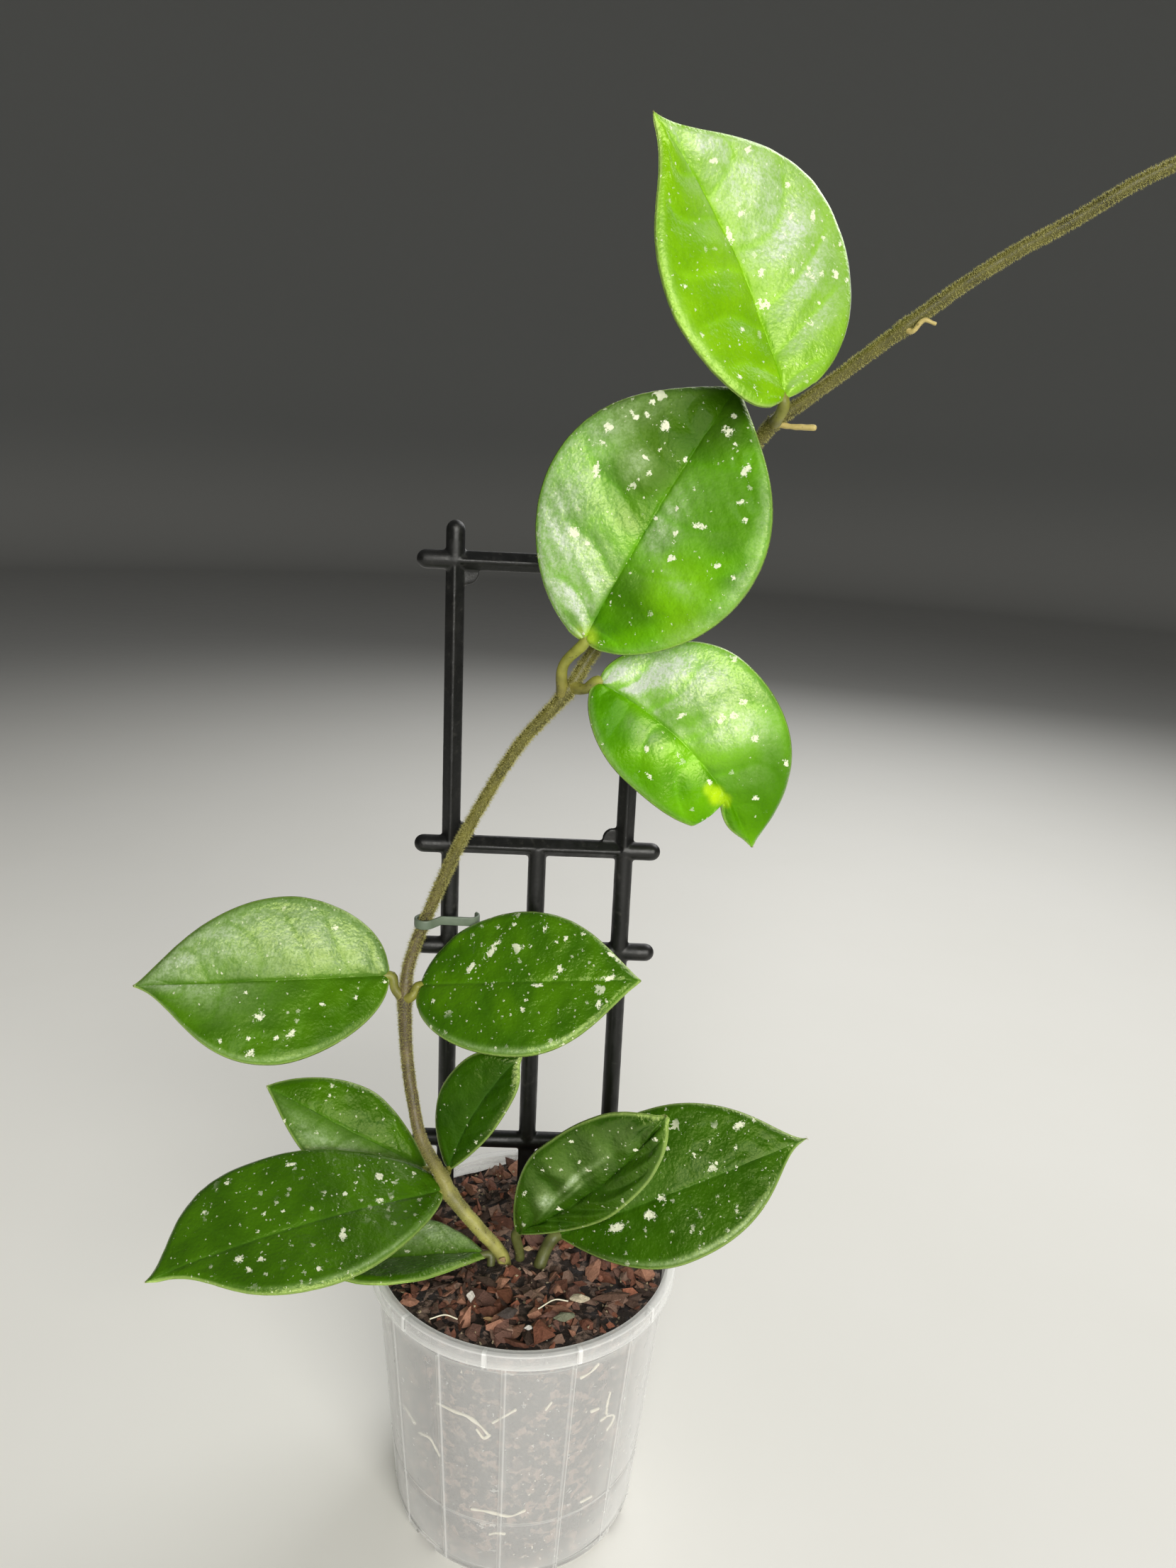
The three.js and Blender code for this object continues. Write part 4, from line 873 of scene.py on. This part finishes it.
def make_leaf(name, seed, looks):
    blade, rim, out = make_blade(name, seed, looks["leaf"])
    rng = np.random.default_rng(seed)
    share = np.linalg.norm(rim - np.roll(rim, 1, axis=0), axis=1)
    picks = rng.choice(len(rim), int(share.sum() * EDGE_HAIRS), p=share / share.sum())
    lengths = rng.uniform(*EDGE_HAIR_LENGTHS, len(picks))
    spread = rim[picks] + rng.normal(size=(len(picks), 3)) * 0.25
    piece(name + "_edge_hairs", *hairs(spread, out[picks], lengths, 0.05, seed, 0.6), looks["hair"], "leaf")
    make_stalk(name, blade, seed, looks["stalk"])


def make_stalk(name, blade, seed, material):
    start, by, radius = blade.leaf["stalk"]
    ends = [blade.at(vec(u), vec(0), 1.0)[0] - blade.face * drop * radius for u, drop in STALK_ENDS]
    path, knots = smooth_path([start, by, *ends], 1.2)
    radii = np.interp(knots, range(len(STALK_RADII)), vec(*STALK_RADII) * radius)
    points, faces, _ = tube(path, radii, STEM_SIDES, 0.09, seed)
    # Stalks that start low get the darker tints of painted shade.
    tints = LOW_STALK_PAINTED_SHADE if start[2] < LOW_START else STALK_TINTS
    tint = blend(*tints, np.linspace(0, 1, len(points))[:, None])
    tint = tint * (1 + 0.25 * waves(seed, points, (4, 14)))[:, None]
    piece(name + "_stalk", points, faces, material, "leaf", {"tint": tint})


# ---------------------------------------------------------------- vine

VINE = [  # place and radius
    (-6, -8, 84, 2.2), (-7, -9, 104, 2.6), (-8, -9, 118, 2.7), (-18, -8, 130, 2.7), (-30.5, -4, 143, 2.9),
    (-34, -1, 148, 2.7), (-44, 8, 159, 2.4), (-48.5, 14, 172, 2.4), (-52, 20, 187, 2.4),
    (-54.5, 27, 212, 2.7), (-54, 31, 223, 2.3), (-51, 34, 235, 2.3), (-48, 35.5, 243, 2.2),
    (-42.5, 35, 258, 2.2), (-34.5, 35, 277.5, 2.1), (-23, 34, 301, 2.1), (-11, 32, 322, 2.1),
    (6, 31, 343.5, 2.5), (14, 35, 357, 2.1), (29, 39, 379, 2.1), (50, 40, 408.5, 2.1), (70, 35, 438, 2.2),
    (74.5, 32, 444.5, 2.5), (85, 29, 453, 2.1), (97.5, 24.5, 463.5, 2.1), (113.5, 19, 477, 2.3),
    (129.5, 15, 490, 2.1), (145, 11, 501, 2.1), (160, 7, 510, 2.0), (174, 3, 519.5, 1.9),
    (186, 0, 526, 1.8), (198, -3, 531.5, 1.5), (208, -5, 536, 0.9),
]
NODE_KNOTS = (4, 5, 9, 17, 22, 25)
NODE_SWELL = 0.35
NODE_REACH = 0.13  # as a share of the way to the next knot
FLOWER_STALKS = [
    ([(74.5, 32, 444.5), (80, 29, 443.5), (88, 26, 443.5)], (1.6, 0.9, 1.1)),
    ([(113.5, 19, 477), (115.5, 16, 475.5), (118.5, 14, 479), (122, 13, 478)], (1.4, 0.9, 0.8, 0.7)),
]
STUB_TINT = (0.52, 0.42, 0.16)
BROWN, OLIVE, GREEN = (0.1, 0.076, 0.036), (0.105, 0.098, 0.014), (0.34, 0.33, 0.09)
GREEN_END = (130, 170)  # the heights between which the vine's green foot turns brown
OLIVE_START = (225, 290)
VINE_HAIRS = 42000
HAIRS_FROM = 126  # the heights from which the vine is hairy, where its hairs grow long and where they shorten
HAIRS_GROW = (130, 260)
HAIRS_SHORTEN = (380, 460)


def make_vine(looks):
    path, knots = smooth_path([p[:3] for p in VINE], 1.4)
    radii = np.interp(knots, range(len(VINE)), [p[3] for p in VINE])
    for node in NODE_KNOTS:
        radii = radii + NODE_SWELL * np.exp(-((knots - node) / NODE_REACH) ** 2)
    points, faces, spokes = tube(path, radii, STEM_SIDES, 0.07, 5)
    height = points[:, 2]
    tint = blend(BROWN, OLIVE, step_up(height, *OLIVE_START)[:, None])
    tint = blend(tint, GREEN, 1 - step_up(height, *GREEN_END)[:, None])
    tint = tint * (1 + 0.3 * waves(3, points, (3, 16)))[:, None]
    heap = Heap()
    heap.add(points, faces, tint)
    for k, (line, widths) in enumerate(FLOWER_STALKS):
        way, where = smooth_path(line, 0.7)
        stub, stub_faces, _ = tube(way, np.interp(where, range(len(line)), widths), 12, 0.12, 31 + k)
        heap.add(stub, stub_faces, STUB_TINT)
    heap.make("vine_stem", looks["stalk"], "vine", stands_for=("main_vine",))
    rng = np.random.default_rng(4)
    picks = rng.choice(np.flatnonzero(height > HAIRS_FROM), VINE_HAIRS)
    roots = points[picks] + np.cross(spokes[picks], rng.normal(size=(VINE_HAIRS, 3))) * 0.4
    lengths = rng.uniform(0.5, 1.6, VINE_HAIRS) * step_up(height[picks], *HAIRS_GROW)
    lengths *= 1 - 0.5 * step_up(height[picks], *HAIRS_SHORTEN)
    piece("vine_hairs", *hairs(roots, spokes[picks], lengths + 0.3, 0.08, 6, 0.5), looks["hair"], "vine")


# ---------------------------------------------------------------- trellis and clip

FOOT = (-37.8, 37.9, 115)
TRELLIS_TURN = Euler((-math.radians(2.2), -math.radians(0.4), math.radians(1.7)), "XYZ")
HALF_BAR = 3.7
BAR_SIDES = 28
RIDGE_BACK = 2.6
SPACING = 35.6
RUNGS = (24.8, 115.1, 159.5, 273.8)
STUB = 14.8  # how far a rung runs past the outer posts
OVERLAP = 1  # how far a round bar runs into a ridged one
POST_TOP = 288.9
STAKE_DEPTH = 40
STAKE_POINT = 33
HALF_STAKE = 2
DISC = 4.6  # the corner discs' radius
DISC_BACK = 2.2
VOXEL = 0.5
DOME = [(HALF_BAR * math.sin(a), math.cos(a)) for a in (0.3, 0.6, 0.9, 1.15, 1.35, 1.5)]


def round_section():
    turn = turns(BAR_SIDES)
    return np.stack([np.cos(turn), np.sin(turn)], axis=-1) * HALF_BAR


def ridge_section():
    """The section of the bars round the upper panel: a blunt ridge in front and a flat back."""
    h, back = HALF_BAR, RIDGE_BACK
    return np.array([(-0.5, 0.35 - h), (0.5, 0.35 - h), (h, 0.1), (h, back - 0.4),
                     (h - 0.4, back), (0.4 - h, back), (-h, back - 0.4), (-h, 0.1)])


def bar(heap, section, start, end, shrink=()):
    """A bar of a section in x and y, along x or z. shrink has lengths past its end and the shares there."""
    start, end = vec(*start), vec(*end)
    ahead = unit(end - start)
    side = vec(1, 0, 0) if abs(ahead[2]) > 0.5 else vec(0, 0, -1)
    rings = [(start, 1.0), (end, 1.0)] + [(end + ahead * far, share) for far, share in shrink]
    away = vec(0, 1, 0)
    heap.add(*sleeve([[place + share * (x * side + y * away) for x, y in section] for place, share in rings]))


def make_trellis(looks):
    low, _, second, top = RUNGS
    right = 2 * SPACING
    ends = (HALF_BAR - STUB, right + STUB - HALF_BAR)
    plain, ridge = round_section(), ridge_section()
    heap = Heap()
    for x in (0, right):
        bar(heap, ridge, (x, 0, second), (x, 0, top))
        bar(heap, plain, (x, 0, low), (x, 0, second + OVERLAP))
        bar(heap, plain, (x, 0, top - OVERLAP), (x, 0, POST_TOP - HALF_BAR), DOME)
    bar(heap, plain, (SPACING, 0, low), (SPACING, 0, second))
    for z in RUNGS:
        for end in ends:
            start = right / 2
            if z in (top, second):
                corner = 0 if end < 0 else right
                bar(heap, ridge, (start, 0, z), (corner, 0, z))
                start = corner + (OVERLAP if end < 0 else -OVERLAP)
            bar(heap, plain, (start, 0, z), (end, 0, z), DOME)
    disc = [(DISC * math.cos(a), DISC * math.sin(a)) for a in turns(32)]
    for x in (DISC, right - DISC):
        for z in (top - DISC, second + DISC):
            heap.add(*sleeve([[(x + a, y, z + b) for a, b in disc] for y in (0, DISC_BACK)]))
    half, shoulder = HALF_BAR, STAKE_POINT - STAKE_DEPTH
    stake = [(-half, low), (-half, shoulder), (0, -STAKE_DEPTH), (half, shoulder), (half, low)]
    for x in (0, SPACING, right):
        heap.add(*sleeve([[(x + a, y, z) for a, z in stake] for y in (-HALF_STAKE, HALF_STAKE)]))
    trellis = heap.make("trellis_ladder", looks["trellis"], "trellis", stands_for=("trellis",))
    trellis.data.transform(Matrix.Translation(Vector(FOOT) * MM) @ TRELLIS_TURN.to_matrix().to_4x4())
    remesh = trellis.modifiers.new("moulded", "REMESH")
    remesh.mode = "VOXEL"
    remesh.voxel_size = VOXEL * MM
    remesh.use_smooth_shade = True
    soften = trellis.modifiers.new("softened", "SMOOTH")
    soften.factor, soften.iterations = 0.5, 4
    applied(trellis)


# The clip's hooks round the vine and the post: middle, radius, first and last angle, and steps.
CLIP_HOOKS = (((-47.9, 35.4), 3.8, 100, 320, 34), ((-30, 41.2), 3.4, -90, 60, 20))
CLIP_FRONT = (-41.5, 37.6)  # where the strap meets the front of the post
CLIP_LEVEL = 243.1
CLIP_SECTION = ((0.6, 0.5), (1.9, 0.35))  # half-sizes across and up, and how square each is
CLIP_END = 0.7


def make_clip(looks):
    """A strap with rounded edges that hooks round the vine and the post."""
    arcs = []
    for (x, y), radius, start, end, steps in CLIP_HOOKS:
        turn = np.radians(np.linspace(start, end, steps))
        arcs.append(np.stack([x + radius * np.cos(turn), y + radius * np.sin(turn)], axis=-1))
    plan = np.concatenate([arcs[0], [CLIP_FRONT], arcs[1]])
    path = np.concatenate([plan, np.full((len(plan), 1), CLIP_LEVEL)], axis=1)
    out = np.cross(unit(np.gradient(path, axis=0)), vec(0, 0, 1))
    turn = turns(20)
    wide, high = (np.sign(wave) * np.abs(wave) ** square * half
                  for wave, (half, square) in zip((np.cos(turn), np.sin(turn)), CLIP_SECTION))
    shares = np.ones(len(path))
    shares[[0, -1]] = CLIP_END
    points = (path[:, None] + out[:, None] * wide[None, :, None] * shares[:, None, None]
              + vec(0, 0, 1) * high[None, :, None] * shares[:, None, None])
    piece("clip_strap", *sleeve(points), looks["clip"], "clip", stands_for=("plant_clip",))


# ---------------------------------------------------------------- pot

POT_HEIGHT = 119.5
BASE_RADIUS = 50.5
MOUTH_RADIUS = 59.6
WALL = 0.9
RIM_RADIUS = 62.5
SKIRT = 6.2
RIBS = 14
RIB_PHASE = -2.9
GUSSETS = 11
GUSSET_PHASE = -9.5
GROOVES = {5.2: 0.25, 29.5: -0.2, 31: 0.2, 108.8: 0.3, 110.2: -0.15}  # height, and how far out the wall goes
GROOVE_HAZE = 0.05
RIB_TOP = 111.5
RIB_DEPTH = 0.5
RIB_ROWS = (-1.1, -0.7, -0.3, 0, 0.3, 0.7, 1.1)  # degrees from the middle of a rib or a gusset
GUSSET_ROWS = (-0.95, -0.5, 0, 0.5, 0.95)
GUSSET_BLOCK = ((58.6, 62.0), 1.0, (113.9, 119.0))  # radii, width and heights
NOTCH_BLOCK = ((43.5, 53.5), 11, (-3.2, 3.2))
NOTCHES = RIBS // 2
WALL_HAZE = 0.235
GUSSET_HAZE, NOTCH_HAZE = 1.0, 0.6
SHARP_EDGE = 40


def wall_radius(z):
    return BASE_RADIUS + (MOUTH_RADIUS - BASE_RADIUS) * z / POT_HEIGHT


def pot_profile():
    """Radius, height, share of the ribs and added haze of each row, from under the floor to above it."""
    rows = [(20, 0.8, 0, 0), (44, 0.8, 0, 0), (45, 0, 0, 0.2), (BASE_RADIUS - 1.6, 0, 0, 0.2),
            (BASE_RADIUS - 0.6, 0.35, 0, 0.2), (wall_radius(1.5), 1.5, 0, 0.1), (wall_radius(2), 2, 0, 0)]
    heights = {2.4, 111.2, 111.9, 113.5, 116, 118.3, *range(8, 108, 8),
               *(z + d for z in GROOVES for d in (-0.5, 0, 0.5))}
    rows += [(wall_radius(z) + GROOVES.get(z, 0), z, float(z < RIB_TOP), GROOVE_HAZE * (z in GROOVES))
             for z in sorted(heights)]
    inner, skirt_end = RIM_RADIUS - WALL, POT_HEIGHT - SKIRT
    # The added haze at the rim's top edges and at the skirt's lower edge makes pale rings there: partly
    # thicker plastic seen edge-on, partly a painted highlight.
    rows += [(wall_radius(118.6) + 0.3, 118.6, 0, -0.05), (inner - 0.3, 118.5, 0, -0.1),
             (inner, 118, 0, -0.12), (inner, skirt_end + 0.2, 0, 0.1), (inner + 0.2, skirt_end, 0, 0.35),
             (RIM_RADIUS - 0.2, skirt_end, 0, 0.35), (RIM_RADIUS, skirt_end + 0.2, 0, 0.3),
             (RIM_RADIUS, skirt_end + 0.8, 0, -0.12), (RIM_RADIUS, 118.6, 0, -0.12),
             (RIM_RADIUS - 0.2, 119.3, 0, 0.25), (RIM_RADIUS - 0.7, POT_HEIGHT, 0, 0.05),
             (MOUTH_RADIUS - 0.4, POT_HEIGHT, 0, 0.1), (MOUTH_RADIUS - 0.9, 119.2, 0, 0.35)]
    rows += [(wall_radius(z) - WALL, z, 0, 0) for z in (118, 100, 80, 60, 40, 20, 4)]
    corner = wall_radius(2) - WALL
    return rows + [(corner - 0.8, 2.4, 0, 0), (corner - 2, 1.9, 0, 0), (20, 1.9, 0, 0)]


def pot_angles():
    """Angles round the pot, close together at the ribs' edges, and those of the ribs and the gussets."""
    ribs = [RIB_PHASE + 360 * k / RIBS for k in range(RIBS)]
    gussets = [GUSSET_PHASE + 360 * k / GUSSETS for k in range(GUSSETS)]
    near = [middle + d for middles, rows in ((ribs, RIB_ROWS), (gussets, GUSSET_ROWS))
            for middle in middles for d in rows]
    free = [a for a in np.arange(0, 360, 2.0) if min(abs((a - r + 180) % 360 - 180) for r in ribs) > 2.2]
    kept = []
    for a in sorted(a % 360 for a in near + free):
        if not kept or a - kept[-1] > 0.12:
            kept.append(a)
    return np.radians(kept), np.radians(ribs), np.radians(gussets)


def make_pot(looks):
    out, height, ribbed, haze = np.array(pot_profile()).T[..., None]
    angles, ribs, gusset_angles = pot_angles()
    to_rib, to_gusset = (
        np.degrees(np.abs((angles[:, None] - near + np.pi) % (2 * np.pi) - np.pi).min(axis=1))
        for near in (ribs, gusset_angles))
    rib, gusset = 1 - step_up(to_rib, 0.5, 1.0), 1 - step_up(to_gusset, 0.5, 1.0)
    rib_edge = np.exp(-((to_rib - 0.7) / 0.28) ** 2)
    radius = out + RIB_DEPTH * rib * ribbed
    points = np.stack([radius * np.sin(angles), -radius * np.cos(angles), height + 0 * radius], axis=-1)
    thick = WALL_HAZE + (0.2 * rib_edge + 0.03 * rib) * ribbed + haze
    thick = thick + 0.5 * gusset * (out > RIM_RADIUS - 1.3)
    layers = {"thick": thick.ravel()}
    pot = piece("pot_shell", *sleeve(points), looks["pot"], "pot", layers, stands_for=("pot",))
    gussets, notches = Heap(), Heap()
    for k in range(GUSSETS):
        block(gussets, math.radians(GUSSET_PHASE + 360 * k / GUSSETS), *GUSSET_BLOCK)
    for k in range(NOTCHES):
        block(notches, math.radians(RIB_PHASE + 180 / RIBS + 360 * k / NOTCHES), *NOTCH_BLOCK)
    for heap, operation, haze in ((gussets, "UNION", GUSSET_HAZE), (notches, "DIFFERENCE", NOTCH_HAZE)):
        cutter = heap.make("cutter", looks["pot"], "pot", smooth=False)
        cutter.data.attributes.new("thick", "FLOAT", "POINT").data.foreach_set("value", [haze] * heap.count)
        boolean = pot.modifiers.new("cut", "BOOLEAN")
        boolean.operation, boolean.solver, boolean.object = operation, "MANIFOLD", cutter
        applied(pot)
        bpy.data.objects.remove(cutter)
    shade_by_angle(pot, SHARP_EDGE)


def block(heap, angle, radii, width, heights):
    """A block across a radius of the pot, seen from the front towards +X."""
    out, side = vec(math.sin(angle), -math.cos(angle), 0), vec(math.cos(angle), math.sin(angle), 0)
    inner, outer, half = *radii, width / 2
    points = [out * r + side * w + vec(0, 0, z) for z in heights
              for r, w in ((inner, -half), (outer, -half), (outer, half), (inner, half))]
    heap.add(points, [(3, 2, 1, 0), (4, 5, 6, 7), (0, 1, 5, 4), (1, 2, 6, 5), (2, 3, 7, 6), (3, 0, 4, 7)])


def shade_by_angle(thing, degrees):
    """Smooth shading, with every edge that turns more than an angle left sharp."""
    shape = bmesh.new()
    shape.from_mesh(thing.data)
    for edge in shape.edges:
        edge.smooth = len(edge.link_faces) == 2 and edge.calc_face_angle(0) < math.radians(degrees)
    for face in shape.faces:
        face.smooth = True
    shape.to_mesh(thing.data)
    shape.free()


# ---------------------------------------------------------------- potting mix

MIX_LEVEL = 115.2
MOUNDS = ((-2, 37, 4.5, 15), (-38, 42, -5, 15))  # where the mix is heaped or hollow: x, y, height and spread
MIX_GAP = 1.0  # between the mix and the wall
MIX_SIDES = 120
CHIPS = 680
LARGE_CHIPS = 150  # these come first
LARGE, SMALL = (4.0, 8.2), (1.4, 5.2)  # half a chip's length
CRUMBS = 150
CRUMB_TINT = (0.5, 0.42, 0.28)
ROOT_RADIUS, STRAW_RADIUS = 0.52, 0.26
BARK_TINTS = [(0.22, 0.088, 0.054), (0.165, 0.072, 0.048), (0.235, 0.122, 0.082), (0.13, 0.07, 0.055),
              (0.07, 0.045, 0.035), (0.2, 0.13, 0.1)]
BITS = [  # place, three half-lengths, colour
    ((-18.2, -33.7, 119.5), (1.8, 1.3, 3.0), (0.8, 0.79, 0.74)),
    ((4.7, -46.4, 118.2), (1.7, 1.5, 1.2), (0.82, 0.82, 0.8)),
    ((23.6, -31.5, 119.8), (4.2, 2.6, 1.6), (0.62, 0.56, 0.42)),
    ((17.9, -40.9, 119.2), (4.6, 2.2, 1.6), (0.2, 0.22, 0.15)),
    ((-3.7, -40.4, 119.3), (4.3, 3.6, 2.2), (0.09, 0.075, 0.07)),
    ((35.6, -29.6, 119.6), (8.2, 2.4, 1.8), (0.12, 0.07, 0.05)),
    ((-7, -12.4, 119.6), (2.6, 1.4, 1.2), (0.42, 0.3, 0.16)),
    ((1.9, -5.3, 119.8), (2.2, 1.6, 1.1), (0.45, 0.34, 0.2)),
    ((-10.1, -43.4, 118.6), (2.6, 1.2, 0.9), (0.36, 0.24, 0.12)),
]
STRAWS = [
    [(-32, -45.2, 118.6), (-26.5, -44.3, 120), (-21.9, -44.8, 118.9)],
    [(8, -38, 119.5), (14, -34, 120.6), (19, -33, 119.4)],
]
WALL_ROOTS = [  # degrees from the front towards +X, and height
    [(-31.5, 81.5), (-23, 81.8), (-16.9, 81.6), (-12.2, 78.8), (-8.7, 75.1)],
    [(-13.4, 76.3), (-10.4, 72.8), (-8.1, 74.8)], [(-6.8, 81.6), (-2.7, 85.2), (1.8, 89.1)],
    [(39.1, 72.5), (42.5, 72.6), (47.1, 69.8), (46.3, 66.6), (43.7, 64.7)],
    [(42.5, 85), (41.7, 80), (41.8, 74.5)], [(33.5, 80.4), (37, 80)],
    [(26.7, 100.4), (30.8, 101.4), (34, 104.1)],
    [(-42.7, 58.6), (-36.3, 60.2), (-33.6, 57.6), (-31.1, 54.3)],
    [(-15.7, 33.3), (-7.7, 34.1), (1.6, 33), (7.6, 36)], [(-7.5, 21.6), (-4.3, 23), (-0.6, 23)],
    [(13.5, 88.3), (15.5, 91.5)], [(34.1, 31.8), (40, 31.3)], [(95, 70), (101, 66), (108, 64), (112, 58)],
    [(140, 88), (147, 84), (150, 77)], [(176, 52), (184, 50), (192, 53)], [(215, 80), (222, 84), (231, 83)],
    [(250, 40), (256, 44), (264, 43)], [(282, 95), (287, 90), (294, 90)], [(120, 25), (128, 23), (137, 26)],
    [(300, 60), (306, 63), (314, 61)],
]


STANDING = [  # what stands in the mix: x, y and radius
    (-8, -9, 3), (-12.6, -12, 2.2), (-1.5, -5, 2.4), (7.5, -8.5, 3),
    (-37.8, 37.9, 4), (-2.2, 39, 4), (33.3, 40, 4),
]


def mix_height(x, y):
    total = MIX_LEVEL
    for x0, y0, height, spread in MOUNDS:
        total = total + height * np.exp(-((x - x0) ** 2 + (y - y0) ** 2) / (2 * spread ** 2))
    return total


def stone(rng, size, corners=11, blunt=0.0):
    """A many-sided lump: the hull of points spread over a rounded box, at the origin."""
    spread = unit(rng.normal(size=(corners, 3))) ** 3
    spread = unit(spread) * rng.uniform(0.78, 1, (corners, 1)) * (1 - blunt) + unit(spread) * blunt
    shape = bmesh.new()
    for p in spread * np.asarray(size):
        shape.verts.new(p)
    bmesh.ops.convex_hull(shape, input=shape.verts)
    loose = [v for v in shape.verts if not v.link_faces]
    bmesh.ops.delete(shape, geom=loose, context="VERTS")
    shape.verts.index_update()
    points = np.array([v.co[:] for v in shape.verts])
    faces = [[v.index for v in f.verts] for f in shape.faces]
    shape.free()
    return points, faces


def turned(points, rng, tilt):
    turn = Euler((rng.uniform(-tilt, tilt), rng.uniform(-tilt, tilt), rng.uniform(0, 2 * math.pi)), "XYZ")
    return points @ np.array(turn.to_matrix()).T


def scattered(rng, radius):
    """A place within a radius of the pot's axis."""
    r, a = radius * math.sqrt(rng.uniform(0, 1)), rng.uniform(0, 2 * math.pi)
    return r * math.cos(a), r * math.sin(a)


def make_mix(looks):
    make_mix_body(looks)
    rng = np.random.default_rng(12)
    chips = Heap()
    done = 0
    room = wall_radius(118) - WALL - 0.6
    while done < CHIPS:
        long = rng.uniform(*(SMALL if done > LARGE_CHIPS else LARGE))
        size = (long, long * rng.uniform(0.35, 0.8), long * rng.uniform(0.22, 0.5))
        x, y = scattered(rng, 57.0 - 0.55 * long)
        if any(math.hypot(x - sx, y - sy) < sr + 0.75 * long for sx, sy, sr in STANDING):
            continue
        points, faces = stone(rng, size)
        points = turned(points, rng, 0.55 if rng.uniform() < 0.75 else 1.3)
        lift = 0.2 * long * rng.uniform(-0.3, 1.1) + 0.6
        points = points + vec(x, y, mix_height(x, y) + lift)
        points[:, :2] *= np.minimum(1, room / np.hypot(points[:, 0], points[:, 1]))[:, None]
        chips.add(points, faces, vec(*BARK_TINTS[rng.integers(len(BARK_TINTS))]) * rng.uniform(0.8, 2.05))
        done += 1
    for place, size, colour in BITS:
        points, faces = stone(rng, size, 26, 0.4)
        points = points @ np.array(Euler((0, 0, rng.uniform(-0.5, 0.5))).to_matrix()).T
        chips.add(points + vec(*place), faces, colour)
    for _ in range(CRUMBS):
        x, y = scattered(rng, 55)
        points, faces = stone(rng, rng.uniform(0.3, 1.0, 3), 9)
        points = points + vec(x, y, mix_height(x, y) + rng.uniform(1.0, 3.0))
        chips.add(points, faces, vec(*CRUMB_TINT) * rng.uniform(0.3, 1.2))
    chips.make("bark_chips", looks["bark"], "mix", smooth=False)
    roots = Heap()
    for k, line in enumerate(WALL_ROOTS):
        path, _ = smooth_path([on_wall(a, z) for a, z in line], 0.8)
        roots.add(*tube(path, ROOT_RADIUS * (1 + 0.25 * waves(k, path, (3, 9))), 8)[:2])
    for line in STRAWS:
        path, _ = smooth_path(line, 0.8)
        roots.add(*tube(path, np.full(len(path), STRAW_RADIUS), 8)[:2])
    roots.make("pale_roots", looks["root"], "mix")


def on_wall(degrees, z):
    """A place between the mix and the pot's wall, by its angle from the front towards +X."""
    r, a = wall_radius(z) - WALL - 0.85, math.radians(degrees)
    return (r * math.sin(a), -r * math.cos(a), z)


def make_mix_body(looks):
    """The mass behind the wall and under the chips: rings up the side, then inwards over the top."""
    angles = turns(MIX_SIDES)
    level = np.ones(MIX_SIDES)
    rings = []
    for z in np.linspace(2.6, 114.5, 46):
        r = wall_radius(z) - WALL - MIX_GAP
        rings.append((r * np.cos(angles), r * np.sin(angles), z * level))
    side = len(rings)
    for share in np.linspace(0.985, 0.02, 30):
        r = (wall_radius(115) - WALL - MIX_GAP) * share
        x, y = r * np.cos(angles), r * np.sin(angles)
        rings.append((x, y, mix_height(x, y) + 0.2))
    points = np.stack(rings).swapaxes(1, 2)
    lumps = waves(21, points, (6, 20), 14)
    out = unit(points * vec(1, 1, 0))
    points[1:side] += out[1:side] * (np.clip(lumps[1:side], -1.5, 0.6) * 0.7 - 0.4)[..., None]
    points[side:, :, 2] += lumps[side:] * 0.8
    piece("mix_body", *sleeve(points), looks["mix"], "mix", stands_for=("potting_mix",))


# ---------------------------------------------------------------- the whole scene

def make_floor(look):
    """A round pale floor that turns up into a grey backdrop far away on all sides."""
    curve = [(3.4 + 0.9 * math.sin(a), 0.9 - 0.9 * math.cos(a)) for a in np.linspace(0, math.pi / 2, 16)]
    rings = [(1, 0), *curve, (4.3, 2.5)]
    angles = turns(96)
    points = [(r * math.cos(a), r * math.sin(a), z) for r, z in rings for a in angles]
    grid = np.arange(len(points)).reshape(-1, len(angles))
    faces = quads(grid, wrap=True, flip=True) + [grid[0].tolist()]
    floor = placed("floor", new_mesh("floor", points, faces, look))


def make_plant():
    looks = {"stalk": stalk_look(), "hair": hair_look(), "trellis": trellis_look(), "clip": clip_look(),
             "pot": pot_look(), "bark": bark_look(), "mix": mix_look(), "root": root_look()}
    for k, (name, leaf) in enumerate(LEAVES.items()):
        make_leaf(name, 100 + k, {**looks, "leaf": leaf_look(leaf["flecks"])})
    make_vine(looks)
    make_trellis(looks)
    make_clip(looks)
    make_pot(looks)
    make_mix(looks)


make_camera()
make_lights()
make_floor(floor_look())
make_plant()
